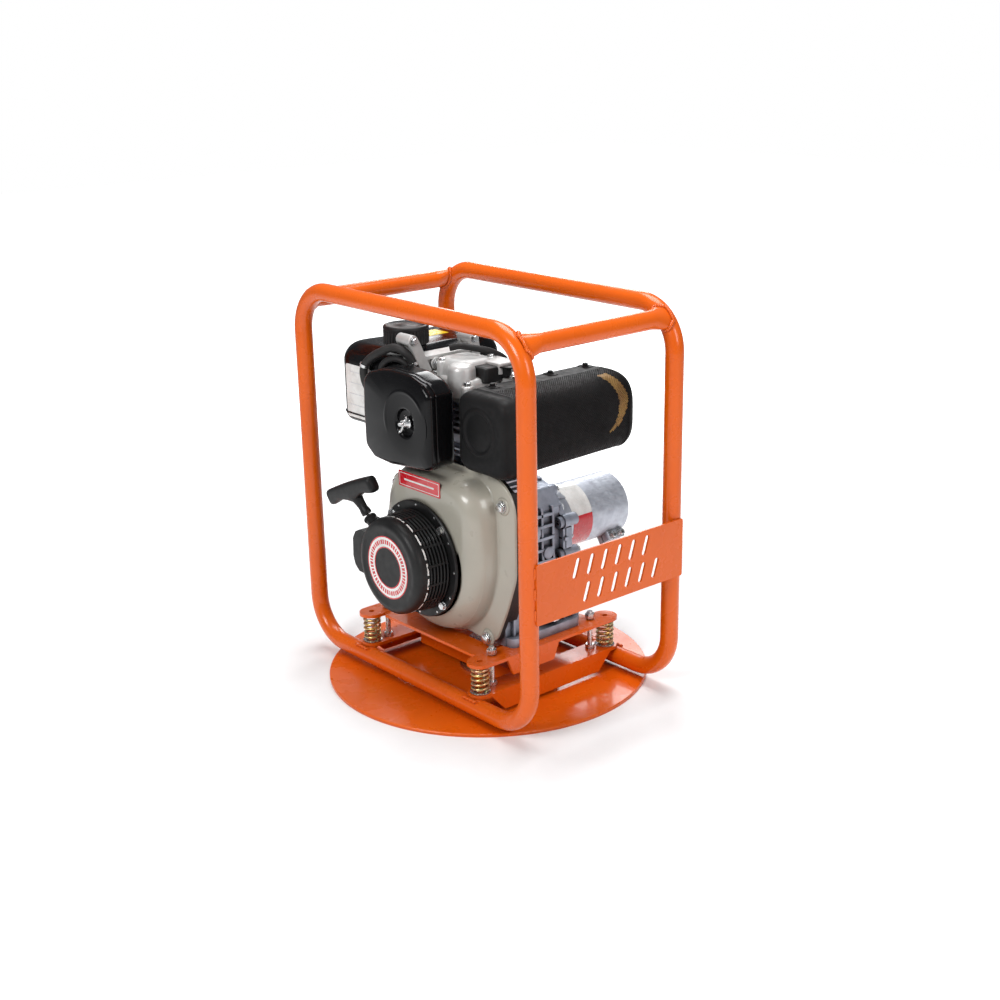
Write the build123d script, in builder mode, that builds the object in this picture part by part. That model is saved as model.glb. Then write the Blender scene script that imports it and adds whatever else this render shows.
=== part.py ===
from build123d import *
from math import cos, pi, sin
import os

# Diesel drive unit for flexible shafts: a small air-cooled engine on a sprung cradle, inside a
# tubular roll frame that swivels on a round base disc, with a quick-coupling tube at the rear.
# Millimetres. The origin is the centre of the disc's underside, +Z is up, +X is the muffler
# side, -Y is the recoil starter side and +Y is the coupling side.

# ---------------------------------------------------------------- driving dimensions
DISC_R = 248.0
DISC_T = 5.0
POST_R = 17.5
HUB_R = 31.0

TUBE_R = 13.45                 # 3/4 inch pipe
TUBE_WALL = 2.6
HOOP_X = 254.0                 # hoop centreline, half width
HOOP_LOW = 22.5
HOOP_HIGH = 582.5
HOOP_Y = 139.5
BEND_R = 65.0
TIE_X = 239.0
TIE_Z = 566.0
PANEL_X = 267.5
PANEL_T = 3.0

RAIL_X = 131.0
RAIL_W = 38.0
RAIL_T = 5.0
RAIL_END_Y = 126.0             # centre of a rail's round end, and of each spring
LOWER_RAIL_Z = 36.0
UPPER_RAIL_Z = 83.6
LIMIT_X = 126.0
LIMIT_Y = 99.0
RUN_GAP = 0.05                 # radial running clearance of every turning fit

CRANK_Z = 212.0
BASE_Z = UPPER_RAIL_Z + RAIL_T  # underside of the engine
THROW = 28.5
ROD_LENGTH = 105.0
BORE_R = 35.0
BEARING_R = 36.0
JOURNAL_R = 17.5
CASE_FRONT = -65.0
CASE_REAR = 75.0
COVER_REAR = 90.0
HEAD_Z = 379.5
HEAD_TOP = 440.0
CAM_X = -52.8                  # 66 mm from the crank, the sum of the two gears' radii
CAM_Z = 172.4

SHROUD_FRONT = -123.0
SHROUD_FLANGE = -80.0
PLATE_FRONT = -75.0
RECOIL_REAR = -127.0
RECOIL_FRONT = -187.0
ROPE_R = 47.75

AIR_FRONT = -150.0
AIR_SPLIT = -135.0
AIR_REAR = -101.0
STUD_X = 5.0
STUD_Z = 422.0

COUPLING_END = 260.0
COUPLING_BORE_R = 42.0
COUPLING_BORE_L = 60.0
DOG_REAR = 196.0

CAP_X = -112.0
CAP_Y = -52.0

CRANK_AXIS = Axis((0, 0, CRANK_Z), (0, 1, 0))
AXIAL = Plane(origin=(0, 0, CRANK_Z), x_dir=(0, 1, 0), z_dir=(1, 0, 0))


# ---------------------------------------------------------------- shared helpers
def front_plane(y, x=0.0, z=CRANK_Z):
    """A sketch plane at y that faces the recoil side: local x is +X, local y is +Z."""
    return Plane(origin=(x, y, z), x_dir=(1, 0, 0), z_dir=(0, -1, 0))


def rear_plane(y, x=0.0, z=CRANK_Z):
    """A sketch plane at y that faces the coupling side: local x is -X, local y is +Z."""
    return Plane(origin=(x, y, z), x_dir=(-1, 0, 0), z_dir=(0, 1, 0))


def hex_screw(across_flats, head_height, shank_r, shank_length):
    """A flange-headed hex screw: its seat is at z = 0 and its shank points down."""
    with BuildPart() as screw:
        with BuildSketch(Plane.XY):
            Circle(across_flats * 0.66)
        extrude(amount=head_height * 0.22)
        with BuildSketch(Plane.XY.offset(head_height * 0.22)):
            RegularPolygon(across_flats / 2, 6, major_radius=False)
        extrude(amount=head_height * 0.78)
        with BuildSketch(Plane.XY):
            Circle(shank_r)
        extrude(amount=-shank_length)
    return screw.part


def hex_nut(across_flats, height, bore_r):
    """A hex nut that stands on z = 0, with a chamfered top edge."""
    with BuildPart() as nut:
        with BuildSketch(Plane.XY):
            RegularPolygon(across_flats / 2, 6, major_radius=False)
        extrude(amount=height)
        chamfer(nut.edges().group_by(Axis.Z)[-1], length=height * 0.1)
        with BuildSketch(Plane.XY):
            Circle(bore_r)
        extrude(amount=height, mode=Mode.SUBTRACT)
    return nut.part


def hoop(y, outer_r, inner_r=0.0):
    """A closed rounded-rectangle tube hoop, swept as one half and mirrored."""
    corners = [(0, HOOP_LOW), (HOOP_X, HOOP_LOW), (HOOP_X, HOOP_HIGH), (0, HOOP_HIGH)]
    with BuildPart() as tube:
        with BuildLine(Plane.XZ.offset(-y)) as path:
            FilletPolyline(*corners, radius=BEND_R)
        with BuildSketch(Plane(origin=path.line @ 0, z_dir=path.line % 0)):
            Circle(outer_r)
            if inner_r:
                Circle(inner_r, mode=Mode.SUBTRACT)
        sweep()
        mirror(about=Plane.YZ)
    return tube.part


def four(x, y):
    """The four mirrored points of a rectangular pattern."""
    return [(x, y), (-x, y), (x, -y), (-x, -y)]


def export(builder, name):
    """Label one finished sub-part and write it."""
    builder.part.label = name
    export_step(builder.part, f"parts/{name}.step")


os.makedirs("parts", exist_ok=True)

# ================================================================ swivel base
with BuildPart() as base_disc:
    with BuildSketch(Plane.XY):
        Circle(DISC_R)
    extrude(amount=DISC_T)
    fillet(base_disc.edges().group_by(Axis.Z)[-1], radius=1.5)
export(base_disc, "base_disc")

POST_FOOT_TOP = 9.0
POST_SHOULDER = 44.0
POST_TOP = 66.0
STUD_R = 10.0
with BuildPart() as swivel_post:
    with BuildSketch(Plane.XY.offset(DISC_T)):
        Circle(45)
    extrude(amount=POST_FOOT_TOP - DISC_T)
    with BuildSketch(Plane.XY.offset(POST_FOOT_TOP)):
        Circle(POST_R)
    extrude(amount=POST_SHOULDER - POST_FOOT_TOP)
    with BuildSketch(Plane.XY.offset(POST_SHOULDER)):
        Circle(STUD_R)
    extrude(amount=POST_TOP - POST_SHOULDER)
    chamfer(swivel_post.edges().group_by(Axis.Z)[-1], length=1.5)
export(swivel_post, "swivel_post")

WASHER_T = 3.0
with BuildPart() as thrust_washer:
    with BuildSketch(Plane.XY.offset(POST_FOOT_TOP)):
        Circle(42)
        Circle(POST_R + RUN_GAP, mode=Mode.SUBTRACT)
    extrude(amount=WASHER_T)
export(thrust_washer, "thrust_washer")

with BuildPart() as swivel_nut:
    with BuildSketch(Plane.XY.offset(POST_SHOULDER)):
        Circle(30)
        Circle(STUD_R + RUN_GAP, mode=Mode.SUBTRACT)
    extrude(amount=4)
    with Locations((0, 0, POST_SHOULDER + 4)):
        add(hex_nut(30, 15, STUD_R + RUN_GAP))
export(swivel_nut, "swivel_nut")

# ================================================================ roll frame
with BuildPart() as front_hoop:
    add(hoop(-HOOP_Y, TUBE_R, TUBE_R - TUBE_WALL))
export(front_hoop, "front_hoop")

with BuildPart() as rear_hoop:
    add(hoop(HOOP_Y, TUBE_R, TUBE_R - TUBE_WALL))
export(rear_hoop, "rear_hoop")

TIE_END = HOOP_Y - 6.0
front_blank = hoop(-HOOP_Y, TUBE_R)
rear_blank = hoop(HOOP_Y, TUBE_R)
with BuildPart() as top_ties:
    with BuildSketch(front_plane(TIE_END, 0, TIE_Z)):
        with Locations((TIE_X, 0), (-TIE_X, 0)):
            Circle(TUBE_R)
            Circle(TUBE_R - TUBE_WALL, mode=Mode.SUBTRACT)
    extrude(amount=2 * TIE_END)
    add(front_blank, mode=Mode.SUBTRACT)
    add(rear_blank, mode=Mode.SUBTRACT)
export(top_ties, "top_ties")

PANEL_LOW = 188.0
PANEL_HIGH = 275.5
PANEL_FRONT = -139.5
PANEL_REAR = 146.0
with BuildPart() as side_panel:
    with BuildSketch(Plane.YZ.offset(PANEL_X)):
        with Locations(((PANEL_FRONT + PANEL_REAR) / 2, (PANEL_LOW + PANEL_HIGH) / 2)):
            Rectangle(PANEL_REAR - PANEL_FRONT, PANEL_HIGH - PANEL_LOW)
        for row_z, first_y in ((253.0, -66.0), (214.0, -46.0)):
            with Locations(*[(first_y + 27.0 * i, row_z) for i in range(6)]):
                SlotOverall(30, 8, rotation=72, mode=Mode.SUBTRACT)
    extrude(amount=PANEL_T)
    fillet(side_panel.edges().filter_by(Axis.X).group_by(Axis.Y)[0], radius=3)
    fillet(side_panel.edges().filter_by(Axis.X).group_by(Axis.Y)[-1], radius=3)
export(side_panel, "side_panel")

LEG_LOW = 9.5                  # the rails' web stops short of the disc, so the frame can turn
for side, sign in (("right", 1), ("left", -1)):
    with BuildPart() as lower_rail:
        with BuildSketch(Plane.XY.offset(LOWER_RAIL_Z)):
            with Locations((sign * RAIL_X, 0)):
                SlotOverall(2 * RAIL_END_Y + RAIL_W, RAIL_W, rotation=90)
            with Locations((sign * LIMIT_X, LIMIT_Y), (sign * LIMIT_X, -LIMIT_Y)):
                Circle(4.5, mode=Mode.SUBTRACT)
        extrude(amount=RAIL_T)
        with BuildSketch(Plane.YZ.offset(sign * (RAIL_X + 16.5) - 2.5)):
            Polygon((-120, 36), (-95, LEG_LOW), (95, LEG_LOW), (120, 36), align=None)
        extrude(amount=RAIL_T)
        with BuildSketch(Plane.XY.offset(LOWER_RAIL_Z + RAIL_T)):
            with Locations((sign * RAIL_X, RAIL_END_Y), (sign * RAIL_X, -RAIL_END_Y)):
                Circle(8)
        extrude(amount=9)
    export(lower_rail, f"lower_rail_{side}")

CROSS_HALF_X = RAIL_X - RAIL_W / 2
with BuildPart() as swivel_crossmember:
    with BuildSketch(Plane.XY.offset(LOWER_RAIL_Z)):
        Rectangle(2 * CROSS_HALF_X, 92)
    extrude(amount=RAIL_T)
    with BuildSketch(Plane.XY.offset(LOWER_RAIL_Z)):
        with Locations((0, 43.5), (0, -43.5)):
            Rectangle(2 * CROSS_HALF_X, 5)
    extrude(amount=-18)
    with BuildSketch(Plane.XY.offset(POST_FOOT_TOP + WASHER_T + RUN_GAP)):
        Circle(HUB_R)
    extrude(until=Until.NEXT, target=swivel_crossmember.part)
    with BuildSketch(Plane.XY.offset(LOWER_RAIL_Z)):
        Circle(HUB_R)
    extrude(amount=POST_SHOULDER - RUN_GAP - LOWER_RAIL_Z)
    with BuildSketch(Plane.XY):
        Circle(POST_R + RUN_GAP)
    extrude(amount=POST_TOP, mode=Mode.SUBTRACT)
export(swivel_crossmember, "swivel_crossmember")

LOCK_NUT_H = 6.5
TOP_NUT_Z = BASE_Z + 2.0
BOLT_TOP = TOP_NUT_Z + 11.0
with BuildPart() as limit_bolts:
    with Locations(*[Location((x, y, LOWER_RAIL_Z), (180, 0, 0)) for x, y in four(LIMIT_X, LIMIT_Y)]):
        add(hex_screw(13, 5.3, 4.0, BOLT_TOP - LOWER_RAIL_Z))
export(limit_bolts, "limit_bolts")

with BuildPart() as limit_nuts:
    with Locations(*[(x, y, LOWER_RAIL_Z + RAIL_T) for x, y in four(LIMIT_X, LIMIT_Y)]):
        add(hex_nut(13, LOCK_NUT_H, 4.0 + RUN_GAP))
    with Locations(*[(x, y, TOP_NUT_Z) for x, y in four(LIMIT_X, LIMIT_Y)]):
        add(hex_nut(13, 8.0, 4.0 + RUN_GAP))
export(limit_nuts, "limit_nuts")

# ================================================================ sprung cradle
ENGINE_BOLTS = [(126.5, -38), (126.5, 58), (-126.5, -38), (-126.5, 58)]
for side, sign in (("right", 1), ("left", -1)):
    # both rails are the same angle section, so each has its web on the +X edge
    web_x = sign * RAIL_X + RAIL_W / 2 - RAIL_T
    with BuildPart() as upper_rail:
        with BuildSketch(Plane.XY.offset(UPPER_RAIL_Z)):
            with Locations((sign * RAIL_X, 0)):
                SlotOverall(2 * RAIL_END_Y + RAIL_W, RAIL_W, rotation=90)
            with Locations((sign * RAIL_X, RAIL_END_Y), (sign * RAIL_X, -RAIL_END_Y)):
                Circle(4.5, mode=Mode.SUBTRACT)
            with Locations((sign * LIMIT_X, LIMIT_Y), (sign * LIMIT_X, -LIMIT_Y)):
                Circle(4.5, mode=Mode.SUBTRACT)
            with Locations(*[(x, y) for x, y in ENGINE_BOLTS if x * sign > 0]):
                Circle(4.5, mode=Mode.SUBTRACT)
        extrude(amount=RAIL_T)
        with BuildSketch(Plane.YZ.offset(web_x)):
            Polygon((-88, 83.6), (-78, 58.6), (2, 58.6), (12, 83.6), align=None)
        extrude(amount=RAIL_T)
    export(upper_rail, f"upper_rail_{side}")

with BuildPart() as cross_straps:
    with BuildSketch(Plane.XY.offset(UPPER_RAIL_Z)):
        with Locations((0, -98), (0, 82)):
            RectangleRounded(2 * CROSS_HALF_X, 40, 8)
    extrude(amount=RAIL_T - 0.6)
export(cross_straps, "cross_straps")

SPRING_WIRE_R = 2.3
SPRING_R = 11.4
SPRING_LOW = LOWER_RAIL_Z + RAIL_T + SPRING_WIRE_R + 0.1
SPRING_HEIGHT = UPPER_RAIL_Z - SPRING_WIRE_R - 0.1 - SPRING_LOW
with BuildPart() as one_spring:
    with BuildLine():
        coil = Helix(pitch=SPRING_HEIGHT / 5.0, height=SPRING_HEIGHT, radius=SPRING_R)
    with BuildSketch(Plane(origin=coil @ 0, z_dir=coil % 0)):
        Circle(SPRING_WIRE_R)
    sweep(path=coil, is_frenet=True)
with BuildPart() as isolator_springs:
    with Locations(*[(x, y, SPRING_LOW) for x, y in four(RAIL_X, RAIL_END_Y)]):
        add(one_spring.part)
export(isolator_springs, "isolator_springs")

with BuildPart() as engine_mount_bolts:
    with Locations(*[Location((x, y, UPPER_RAIL_Z), (180, 0, 0)) for x, y in ENGINE_BOLTS]):
        add(hex_screw(13, 5.3, 4.0, 18))
export(engine_mount_bolts, "engine_mount_bolts")

# ================================================================ crankcase and covers
FOOT_X = 133.0
FOOT_TOP = BASE_Z + 14.0
case_outline = [
    (-118, BASE_Z), (118, BASE_Z), (118, 134), (88, 152), (75, 186), (75, 262), (62, 292),
    (-80, 292), (-98, 258), (-118, 196),
]
cavity_outline = [
    (-104, 104), (104, 104), (104, 128), (80, 143), (64, 184), (64, 259), (53, 284),
    (-72, 284), (-88, 252), (-108, 194),
]
CAVITY_FRONT = -57.0
with BuildPart() as crankcase:
    with BuildSketch(front_plane(CASE_REAR, 0, 0)):
        Polygon(*case_outline, align=None)
    extrude(amount=CASE_REAR - CASE_FRONT)
    fillet(crankcase.edges().filter_by(Axis.Y).group_by(Axis.Z)[-1], radius=6)
    with BuildSketch(Plane.XY.offset(BASE_Z)):
        with Locations((0, 5)):
            RectangleRounded(2 * FOOT_X, CASE_REAR - CASE_FRONT - 2, 10)
    extrude(amount=FOOT_TOP - BASE_Z)
    with BuildSketch(front_plane(CASE_REAR, 0, 0)):
        Polygon(*cavity_outline, align=None)
    extrude(amount=CASE_REAR - CAVITY_FRONT, mode=Mode.SUBTRACT)
    # bosses for the front main bearing and the camshaft's blind bearing
    with BuildSketch(front_plane(-45)):
        Circle(44)
    extrude(amount=-45 - CASE_FRONT)
    with BuildSketch(front_plane(-45)):
        Circle(BEARING_R)
    extrude(amount=17, mode=Mode.SUBTRACT)
    with BuildSketch(front_plane(-45)):
        Circle(22)
    extrude(amount=-45 - CASE_FRONT, mode=Mode.SUBTRACT)
    with BuildSketch(front_plane(CAVITY_FRONT, CAM_X, CAM_Z)):
        Circle(8 + RUN_GAP)
    extrude(amount=5, mode=Mode.SUBTRACT)
    # cooling and stiffening ribs on both side walls
    for rib_x, rib_height in ((120.5, 26), (-120.5, 86)):
        with BuildSketch(Plane.XY.offset(FOOT_TOP)):
            with Locations(*[(rib_x, y) for y in (-52, -22, 48, 66)]):
                Rectangle(7, 4)
        extrude(amount=rib_height)
    # drain boss on the right, filler boss on the left
    with BuildSketch(Plane.YZ.offset(116)):
        with Locations((20, 119)):
            Circle(14)
    extrude(amount=9)
    with BuildSketch(Plane.YZ.offset(100)):
        with Locations((20, 119)):
            Circle(7 + RUN_GAP)
    extrude(amount=26, mode=Mode.SUBTRACT)
    with BuildSketch(Plane.YZ.offset(-125)):
        with Locations((15, 170)):
            Circle(16)
    extrude(amount=9)
    with BuildSketch(Plane.YZ.offset(-126)):
        with Locations((15, 170)):
            Circle(10 + RUN_GAP)
    extrude(amount=26, mode=Mode.SUBTRACT)
    # mouth for the cylinder's spigot, and tapped holes in the feet
    with BuildSketch(Plane.XY.offset(280)):
        Circle(43)
    extrude(amount=14, mode=Mode.SUBTRACT)
    with BuildSketch(Plane.XY.offset(BASE_Z)):
        with Locations(*ENGINE_BOLTS):
            Circle(4.05)
    extrude(amount=13.5, mode=Mode.SUBTRACT)
export(crankcase, "crankcase")

SCREW_RING_R = 84.0
TOWER_REAR = 96.0
LONG_TOWER = 5                 # the tower at the lower right is longer than the rest
LONG_TOWER_REAR = 112.0
with BuildPart() as pto_cover:
    with BuildSketch(front_plane(CASE_REAR + 8, 0, 0)):
        Polygon(*case_outline, align=None)
    extrude(amount=8)
    with BuildSketch(rear_plane(68)):
        Circle(44)
    extrude(amount=COVER_REAR - 68)
    with BuildSketch(rear_plane(CASE_REAR + 8)):
        for i in range(10):
            with PolarLocations(64, 1, start_angle=36 * i, rotate=True):
                Rectangle(50, 5)
    extrude(amount=COVER_REAR - CASE_REAR - 8)
    with BuildSketch(rear_plane(CASE_REAR)):
        with PolarLocations(SCREW_RING_R, 10, start_angle=18):
            Circle(9)
    extrude(amount=TOWER_REAR - CASE_REAR)
    with BuildSketch(rear_plane(CASE_REAR)):
        with PolarLocations(SCREW_RING_R, 1, start_angle=18 + 36 * LONG_TOWER):
            Circle(9)
    extrude(amount=LONG_TOWER_REAR - CASE_REAR)
    with BuildSketch(rear_plane(68)):
        Circle(BEARING_R)
    extrude(amount=17, mode=Mode.SUBTRACT)
    with BuildSketch(rear_plane(68)):
        Circle(22)
    extrude(amount=COVER_REAR - 68, mode=Mode.SUBTRACT)
    with BuildSketch(rear_plane(CASE_REAR, CAM_X, CAM_Z)):
        Circle(8 + RUN_GAP)
    extrude(amount=7.5, mode=Mode.SUBTRACT)
    with BuildSketch(rear_plane(CASE_REAR)):
        with PolarLocations(SCREW_RING_R, 10, start_angle=18):
            Circle(4.05)
    extrude(amount=LONG_TOWER_REAR - CASE_REAR, mode=Mode.SUBTRACT)
export(pto_cover, "pto_cover")

with BuildPart() as main_bearings:
    for rear_y in (-45, 85):
        with BuildSketch(front_plane(rear_y)):
            Circle(BEARING_R - RUN_GAP)
            Circle(JOURNAL_R, mode=Mode.SUBTRACT)
        extrude(amount=17)
        with BuildSketch(front_plane(rear_y)):
            Circle(31)
            Circle(23, mode=Mode.SUBTRACT)
        extrude(amount=1.5, mode=Mode.SUBTRACT)
export(main_bearings, "main_bearings")

# ================================================================ cylinder, head, piston
with BuildPart() as cylinder_barrel:
    with BuildSketch(Plane.XY.offset(272)):
        Circle(42.5)
    extrude(amount=HEAD_Z - 1.5 - 272)
    with BuildSketch(Plane.XY.offset(292)):
        RectangleRounded(118, 116, 8)
    extrude(amount=8)
    for i in range(8):
        with BuildSketch(Plane.XY.offset(306 + 8.6 * i)):
            RectangleRounded(124, 118, 16)
        extrude(amount=2.4)
    with BuildSketch(Plane.XY.offset(270)):
        Circle(BORE_R)
    extrude(amount=120, mode=Mode.SUBTRACT)
export(cylinder_barrel, "cylinder_barrel")

HEAD_PORT_X = 63.0
INTAKE_X = -22.0
INTAKE_Z = 414.0
EXHAUST_Y = 22.0
EXHAUST_Z = 410.0
with BuildPart() as cylinder_head:
    with BuildSketch(Plane.XY.offset(HEAD_Z - 1.4)):
        RectangleRounded(124, 118, 12)
    extrude(amount=12)
    with BuildSketch(Plane.XY.offset(HEAD_Z + 8)):
        RectangleRounded(96, 96, 14)
    extrude(amount=HEAD_TOP - HEAD_Z - 8)
    for i in range(4):
        with BuildSketch(Plane.XY.offset(HEAD_Z + 18 + 9 * i)):
            RectangleRounded(122, 116, 14)
        extrude(amount=2.6)
    with BuildSketch(front_plane(-30, INTAKE_X, INTAKE_Z)):
        Circle(24)
    extrude(amount=30)
    with BuildSketch(front_plane(-25, INTAKE_X, INTAKE_Z)):
        Circle(15)
    extrude(amount=36, mode=Mode.SUBTRACT)
    with BuildSketch(Plane.YZ.offset(30)):
        with Locations((EXHAUST_Y, EXHAUST_Z)):
            Circle(20)
    extrude(amount=HEAD_PORT_X - 30)
    with BuildSketch(Plane.YZ.offset(30)):
        with Locations((EXHAUST_Y, EXHAUST_Z)):
            Circle(13)
    extrude(amount=40, mode=Mode.SUBTRACT)
    with BuildSketch(Plane.XY.offset(HEAD_Z - 2)):
        Circle(28)
    extrude(amount=8, mode=Mode.SUBTRACT)
export(cylinder_head, "cylinder_head")

ROCKER_Y = -22.0
with BuildPart() as rocker_cover:
    with BuildSketch(Plane.XY.offset(HEAD_TOP)):
        with Locations((-4, ROCKER_Y)):
            RectangleRounded(96, 84, 18)
        with Locations((-40, -52), (32, -54), (-46, 8), (44, 12)):
            Circle(12)
    extrude(amount=30)
    with BuildSketch(Plane.XY.offset(HEAD_TOP + 30)):
        with Locations((-14, -24)):
            RectangleRounded(72, 72, 20)
        with Locations((14, -48)):
            Circle(19)
    extrude(amount=25)
    fillet(rocker_cover.faces().sort_by(Axis.Z)[-1].edges(), radius=5)
    with BuildSketch(Plane.XY.offset(HEAD_TOP)):
        with Locations((-4, ROCKER_Y)):
            RectangleRounded(86, 74, 14)
    extrude(amount=26, mode=Mode.SUBTRACT)
export(rocker_cover, "rocker_cover")

PISTON_TOP = CRANK_Z + THROW + ROD_LENGTH + 32
PIN_Z = CRANK_Z + THROW + ROD_LENGTH
with BuildPart() as piston:
    with BuildSketch(Plane.XY.offset(PISTON_TOP)):
        Circle(BORE_R - RUN_GAP)
    extrude(amount=-56)
    with BuildSketch(Plane.XY.offset(PISTON_TOP - 9)):
        Circle(29)
    extrude(amount=-47, mode=Mode.SUBTRACT)
    for sign in (1, -1):
        with BuildSketch(front_plane(sign * 21 + 8.0, 0, PIN_Z)):
            Circle(15)
        extrude(amount=16)
    with BuildSketch(front_plane(40, 0, PIN_Z)):
        Circle(10)
    extrude(amount=80, mode=Mode.SUBTRACT)
    for i in range(3):
        with BuildSketch(Plane.XY.offset(PISTON_TOP - 6 - 5 * i)):
            Circle(36)
            Circle(33.2, mode=Mode.SUBTRACT)
        extrude(amount=-2, mode=Mode.SUBTRACT)
export(piston, "piston")

with BuildPart() as wrist_pin:
    with BuildSketch(front_plane(28, 0, PIN_Z)):
        Circle(10)
        Circle(6, mode=Mode.SUBTRACT)
    extrude(amount=56)
export(wrist_pin, "wrist_pin")

PIN_CENTRE_Z = CRANK_Z + THROW
ROD_HALF = 12.0
with BuildPart() as connecting_rod:
    with BuildSketch(front_plane(ROD_HALF, 0, PIN_CENTRE_Z)):
        Circle(26)
    extrude(amount=2 * ROD_HALF)
    with BuildSketch(front_plane(ROD_HALF, 0, PIN_Z)):
        Circle(14)
    extrude(amount=2 * ROD_HALF)
    with BuildSketch(front_plane(6, 0, PIN_CENTRE_Z)):
        Polygon((-13, 18), (13, 18), (9, ROD_LENGTH - 8), (-9, ROD_LENGTH - 8), align=None)
    extrude(amount=12)
    with BuildSketch(front_plane(ROD_HALF, 0, PIN_CENTRE_Z)):
        Circle(16 + RUN_GAP)
    extrude(amount=2 * ROD_HALF, mode=Mode.SUBTRACT)
    with BuildSketch(front_plane(ROD_HALF, 0, PIN_Z)):
        Circle(10 + RUN_GAP)
    extrude(amount=2 * ROD_HALF, mode=Mode.SUBTRACT)
export(connecting_rod, "connecting_rod")

with BuildPart() as crankpin:
    with BuildSketch(front_plane(13, 0, PIN_CENTRE_Z)):
        Circle(16)
        Circle(6, mode=Mode.SUBTRACT)
    extrude(amount=26)
export(crankpin, "crankpin")

# ================================================================ crank train
WEB_R = 46.0
WEB_INNER = 13.5
WEB_OUTER = 30.0
GEAR_FRONT = 36.0
GEAR_REAR = 50.0
CRANK_TEETH = 22
CAM_TEETH = 44
TOOTH_DEPTH = 2.6


def gear_disc(plane, teeth, tip_r, width):
    """A spur gear blank with simple trapezoid teeth."""
    root_r = tip_r - TOOTH_DEPTH
    half_root = 0.30 * 2 * pi * tip_r / teeth
    with BuildPart() as gear:
        with BuildSketch(plane):
            Circle(root_r)
            with PolarLocations(root_r, teeth):
                Polygon((-0.5, -half_root), (TOOTH_DEPTH, -half_root * 0.55),
                        (TOOTH_DEPTH, half_root * 0.55), (-0.5, half_root), align=None)
        extrude(amount=width)
    return gear.part


with BuildPart() as crankshaft:
    # the two halves that the crankpin joins on the real shaft
    with BuildSketch(AXIAL):
        Polygon((-122, 0), (-122, 8), (-112, 8), (-112, 14), (-62, 14), (-62, JOURNAL_R - RUN_GAP),
                (-WEB_OUTER, JOURNAL_R - RUN_GAP), (-WEB_OUTER, WEB_R), (-WEB_INNER, WEB_R),
                (-WEB_INNER, 0), align=None)
        Polygon((WEB_INNER, 0), (WEB_INNER, WEB_R), (WEB_OUTER, WEB_R),
                (WEB_OUTER, JOURNAL_R - RUN_GAP), (COVER_REAR, JOURNAL_R - RUN_GAP),
                (COVER_REAR, 12.5), (158, 12.5), (158, 0), align=None)
    revolve(axis=CRANK_AXIS)
    for sign in (1, -1):
        with BuildSketch(front_plane(WEB_OUTER + 1, sign * 42, CRANK_Z + 20)):
            Circle(18)
        extrude(amount=2 * WEB_OUTER + 2, mode=Mode.SUBTRACT)
    add(gear_disc(rear_plane(GEAR_FRONT), CRANK_TEETH, 21.9, GEAR_REAR - GEAR_FRONT))
export(crankshaft, "crankshaft")

with BuildPart() as camshaft:
    with BuildSketch(rear_plane(CAVITY_FRONT - 4.5, CAM_X, CAM_Z)):
        Circle(8)
    extrude(amount=CASE_REAR + 7 - CAVITY_FRONT + 4.5)
    for lobe_y, side in ((-10, 1), (4, -1)):
        with BuildSketch(rear_plane(lobe_y, CAM_X, CAM_Z)):
            Circle(11)
            with Locations((4 * side, 4)):
                Circle(9)
        extrude(amount=6)
    add(gear_disc(rear_plane(GEAR_FRONT, CAM_X, CAM_Z), CAM_TEETH, 43.9, GEAR_REAR - GEAR_FRONT))
export(camshaft, "camshaft")

FLYWHEEL_R = 98.0
with BuildPart() as flywheel:
    with BuildSketch(AXIAL):
        Polygon((-112, 14 + RUN_GAP), (-112, 46), (-106, 50), (-106, 80), (-112, 84), (-112, FLYWHEEL_R),
                (-84, FLYWHEEL_R), (-84, 82), (-98, 78), (-98, 30), (-69, 26),
                (-69, 14 + RUN_GAP), align=None)
    revolve(axis=CRANK_AXIS)
    with BuildSketch(front_plane(-106)):
        with PolarLocations(76, 20):
            Rectangle(36, 2.4, rotation=24)
    extrude(amount=12.5)
export(flywheel, "flywheel")

with BuildPart() as starter_cup:
    with BuildSketch(AXIAL):
        Polygon((-127, 37), (-127, 42), (-112, 42), (-112, 8 + RUN_GAP), (-116, 8 + RUN_GAP),
                (-116, 37), align=None)
    revolve(axis=CRANK_AXIS)
    with BuildSketch(front_plane(-120)):
        with PolarLocations(39, 6):
            Circle(5)
    extrude(amount=8, mode=Mode.SUBTRACT)
export(starter_cup, "starter_cup")

with BuildPart() as drive_dog:
    with BuildSketch(AXIAL):
        Polygon((120, 12.5 + RUN_GAP), (120, 24), (140, 24), (144, 30), (184, 30), (184, 0), (159, 0),
                (159, 12.5 + RUN_GAP), align=None)
    revolve(axis=CRANK_AXIS)
    with BuildSketch(rear_plane(184)):
        with PolarLocations(21, 2):
            Rectangle(14, 12)
    extrude(amount=DOG_REAR - 184)
export(drive_dog, "drive_dog")

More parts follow.
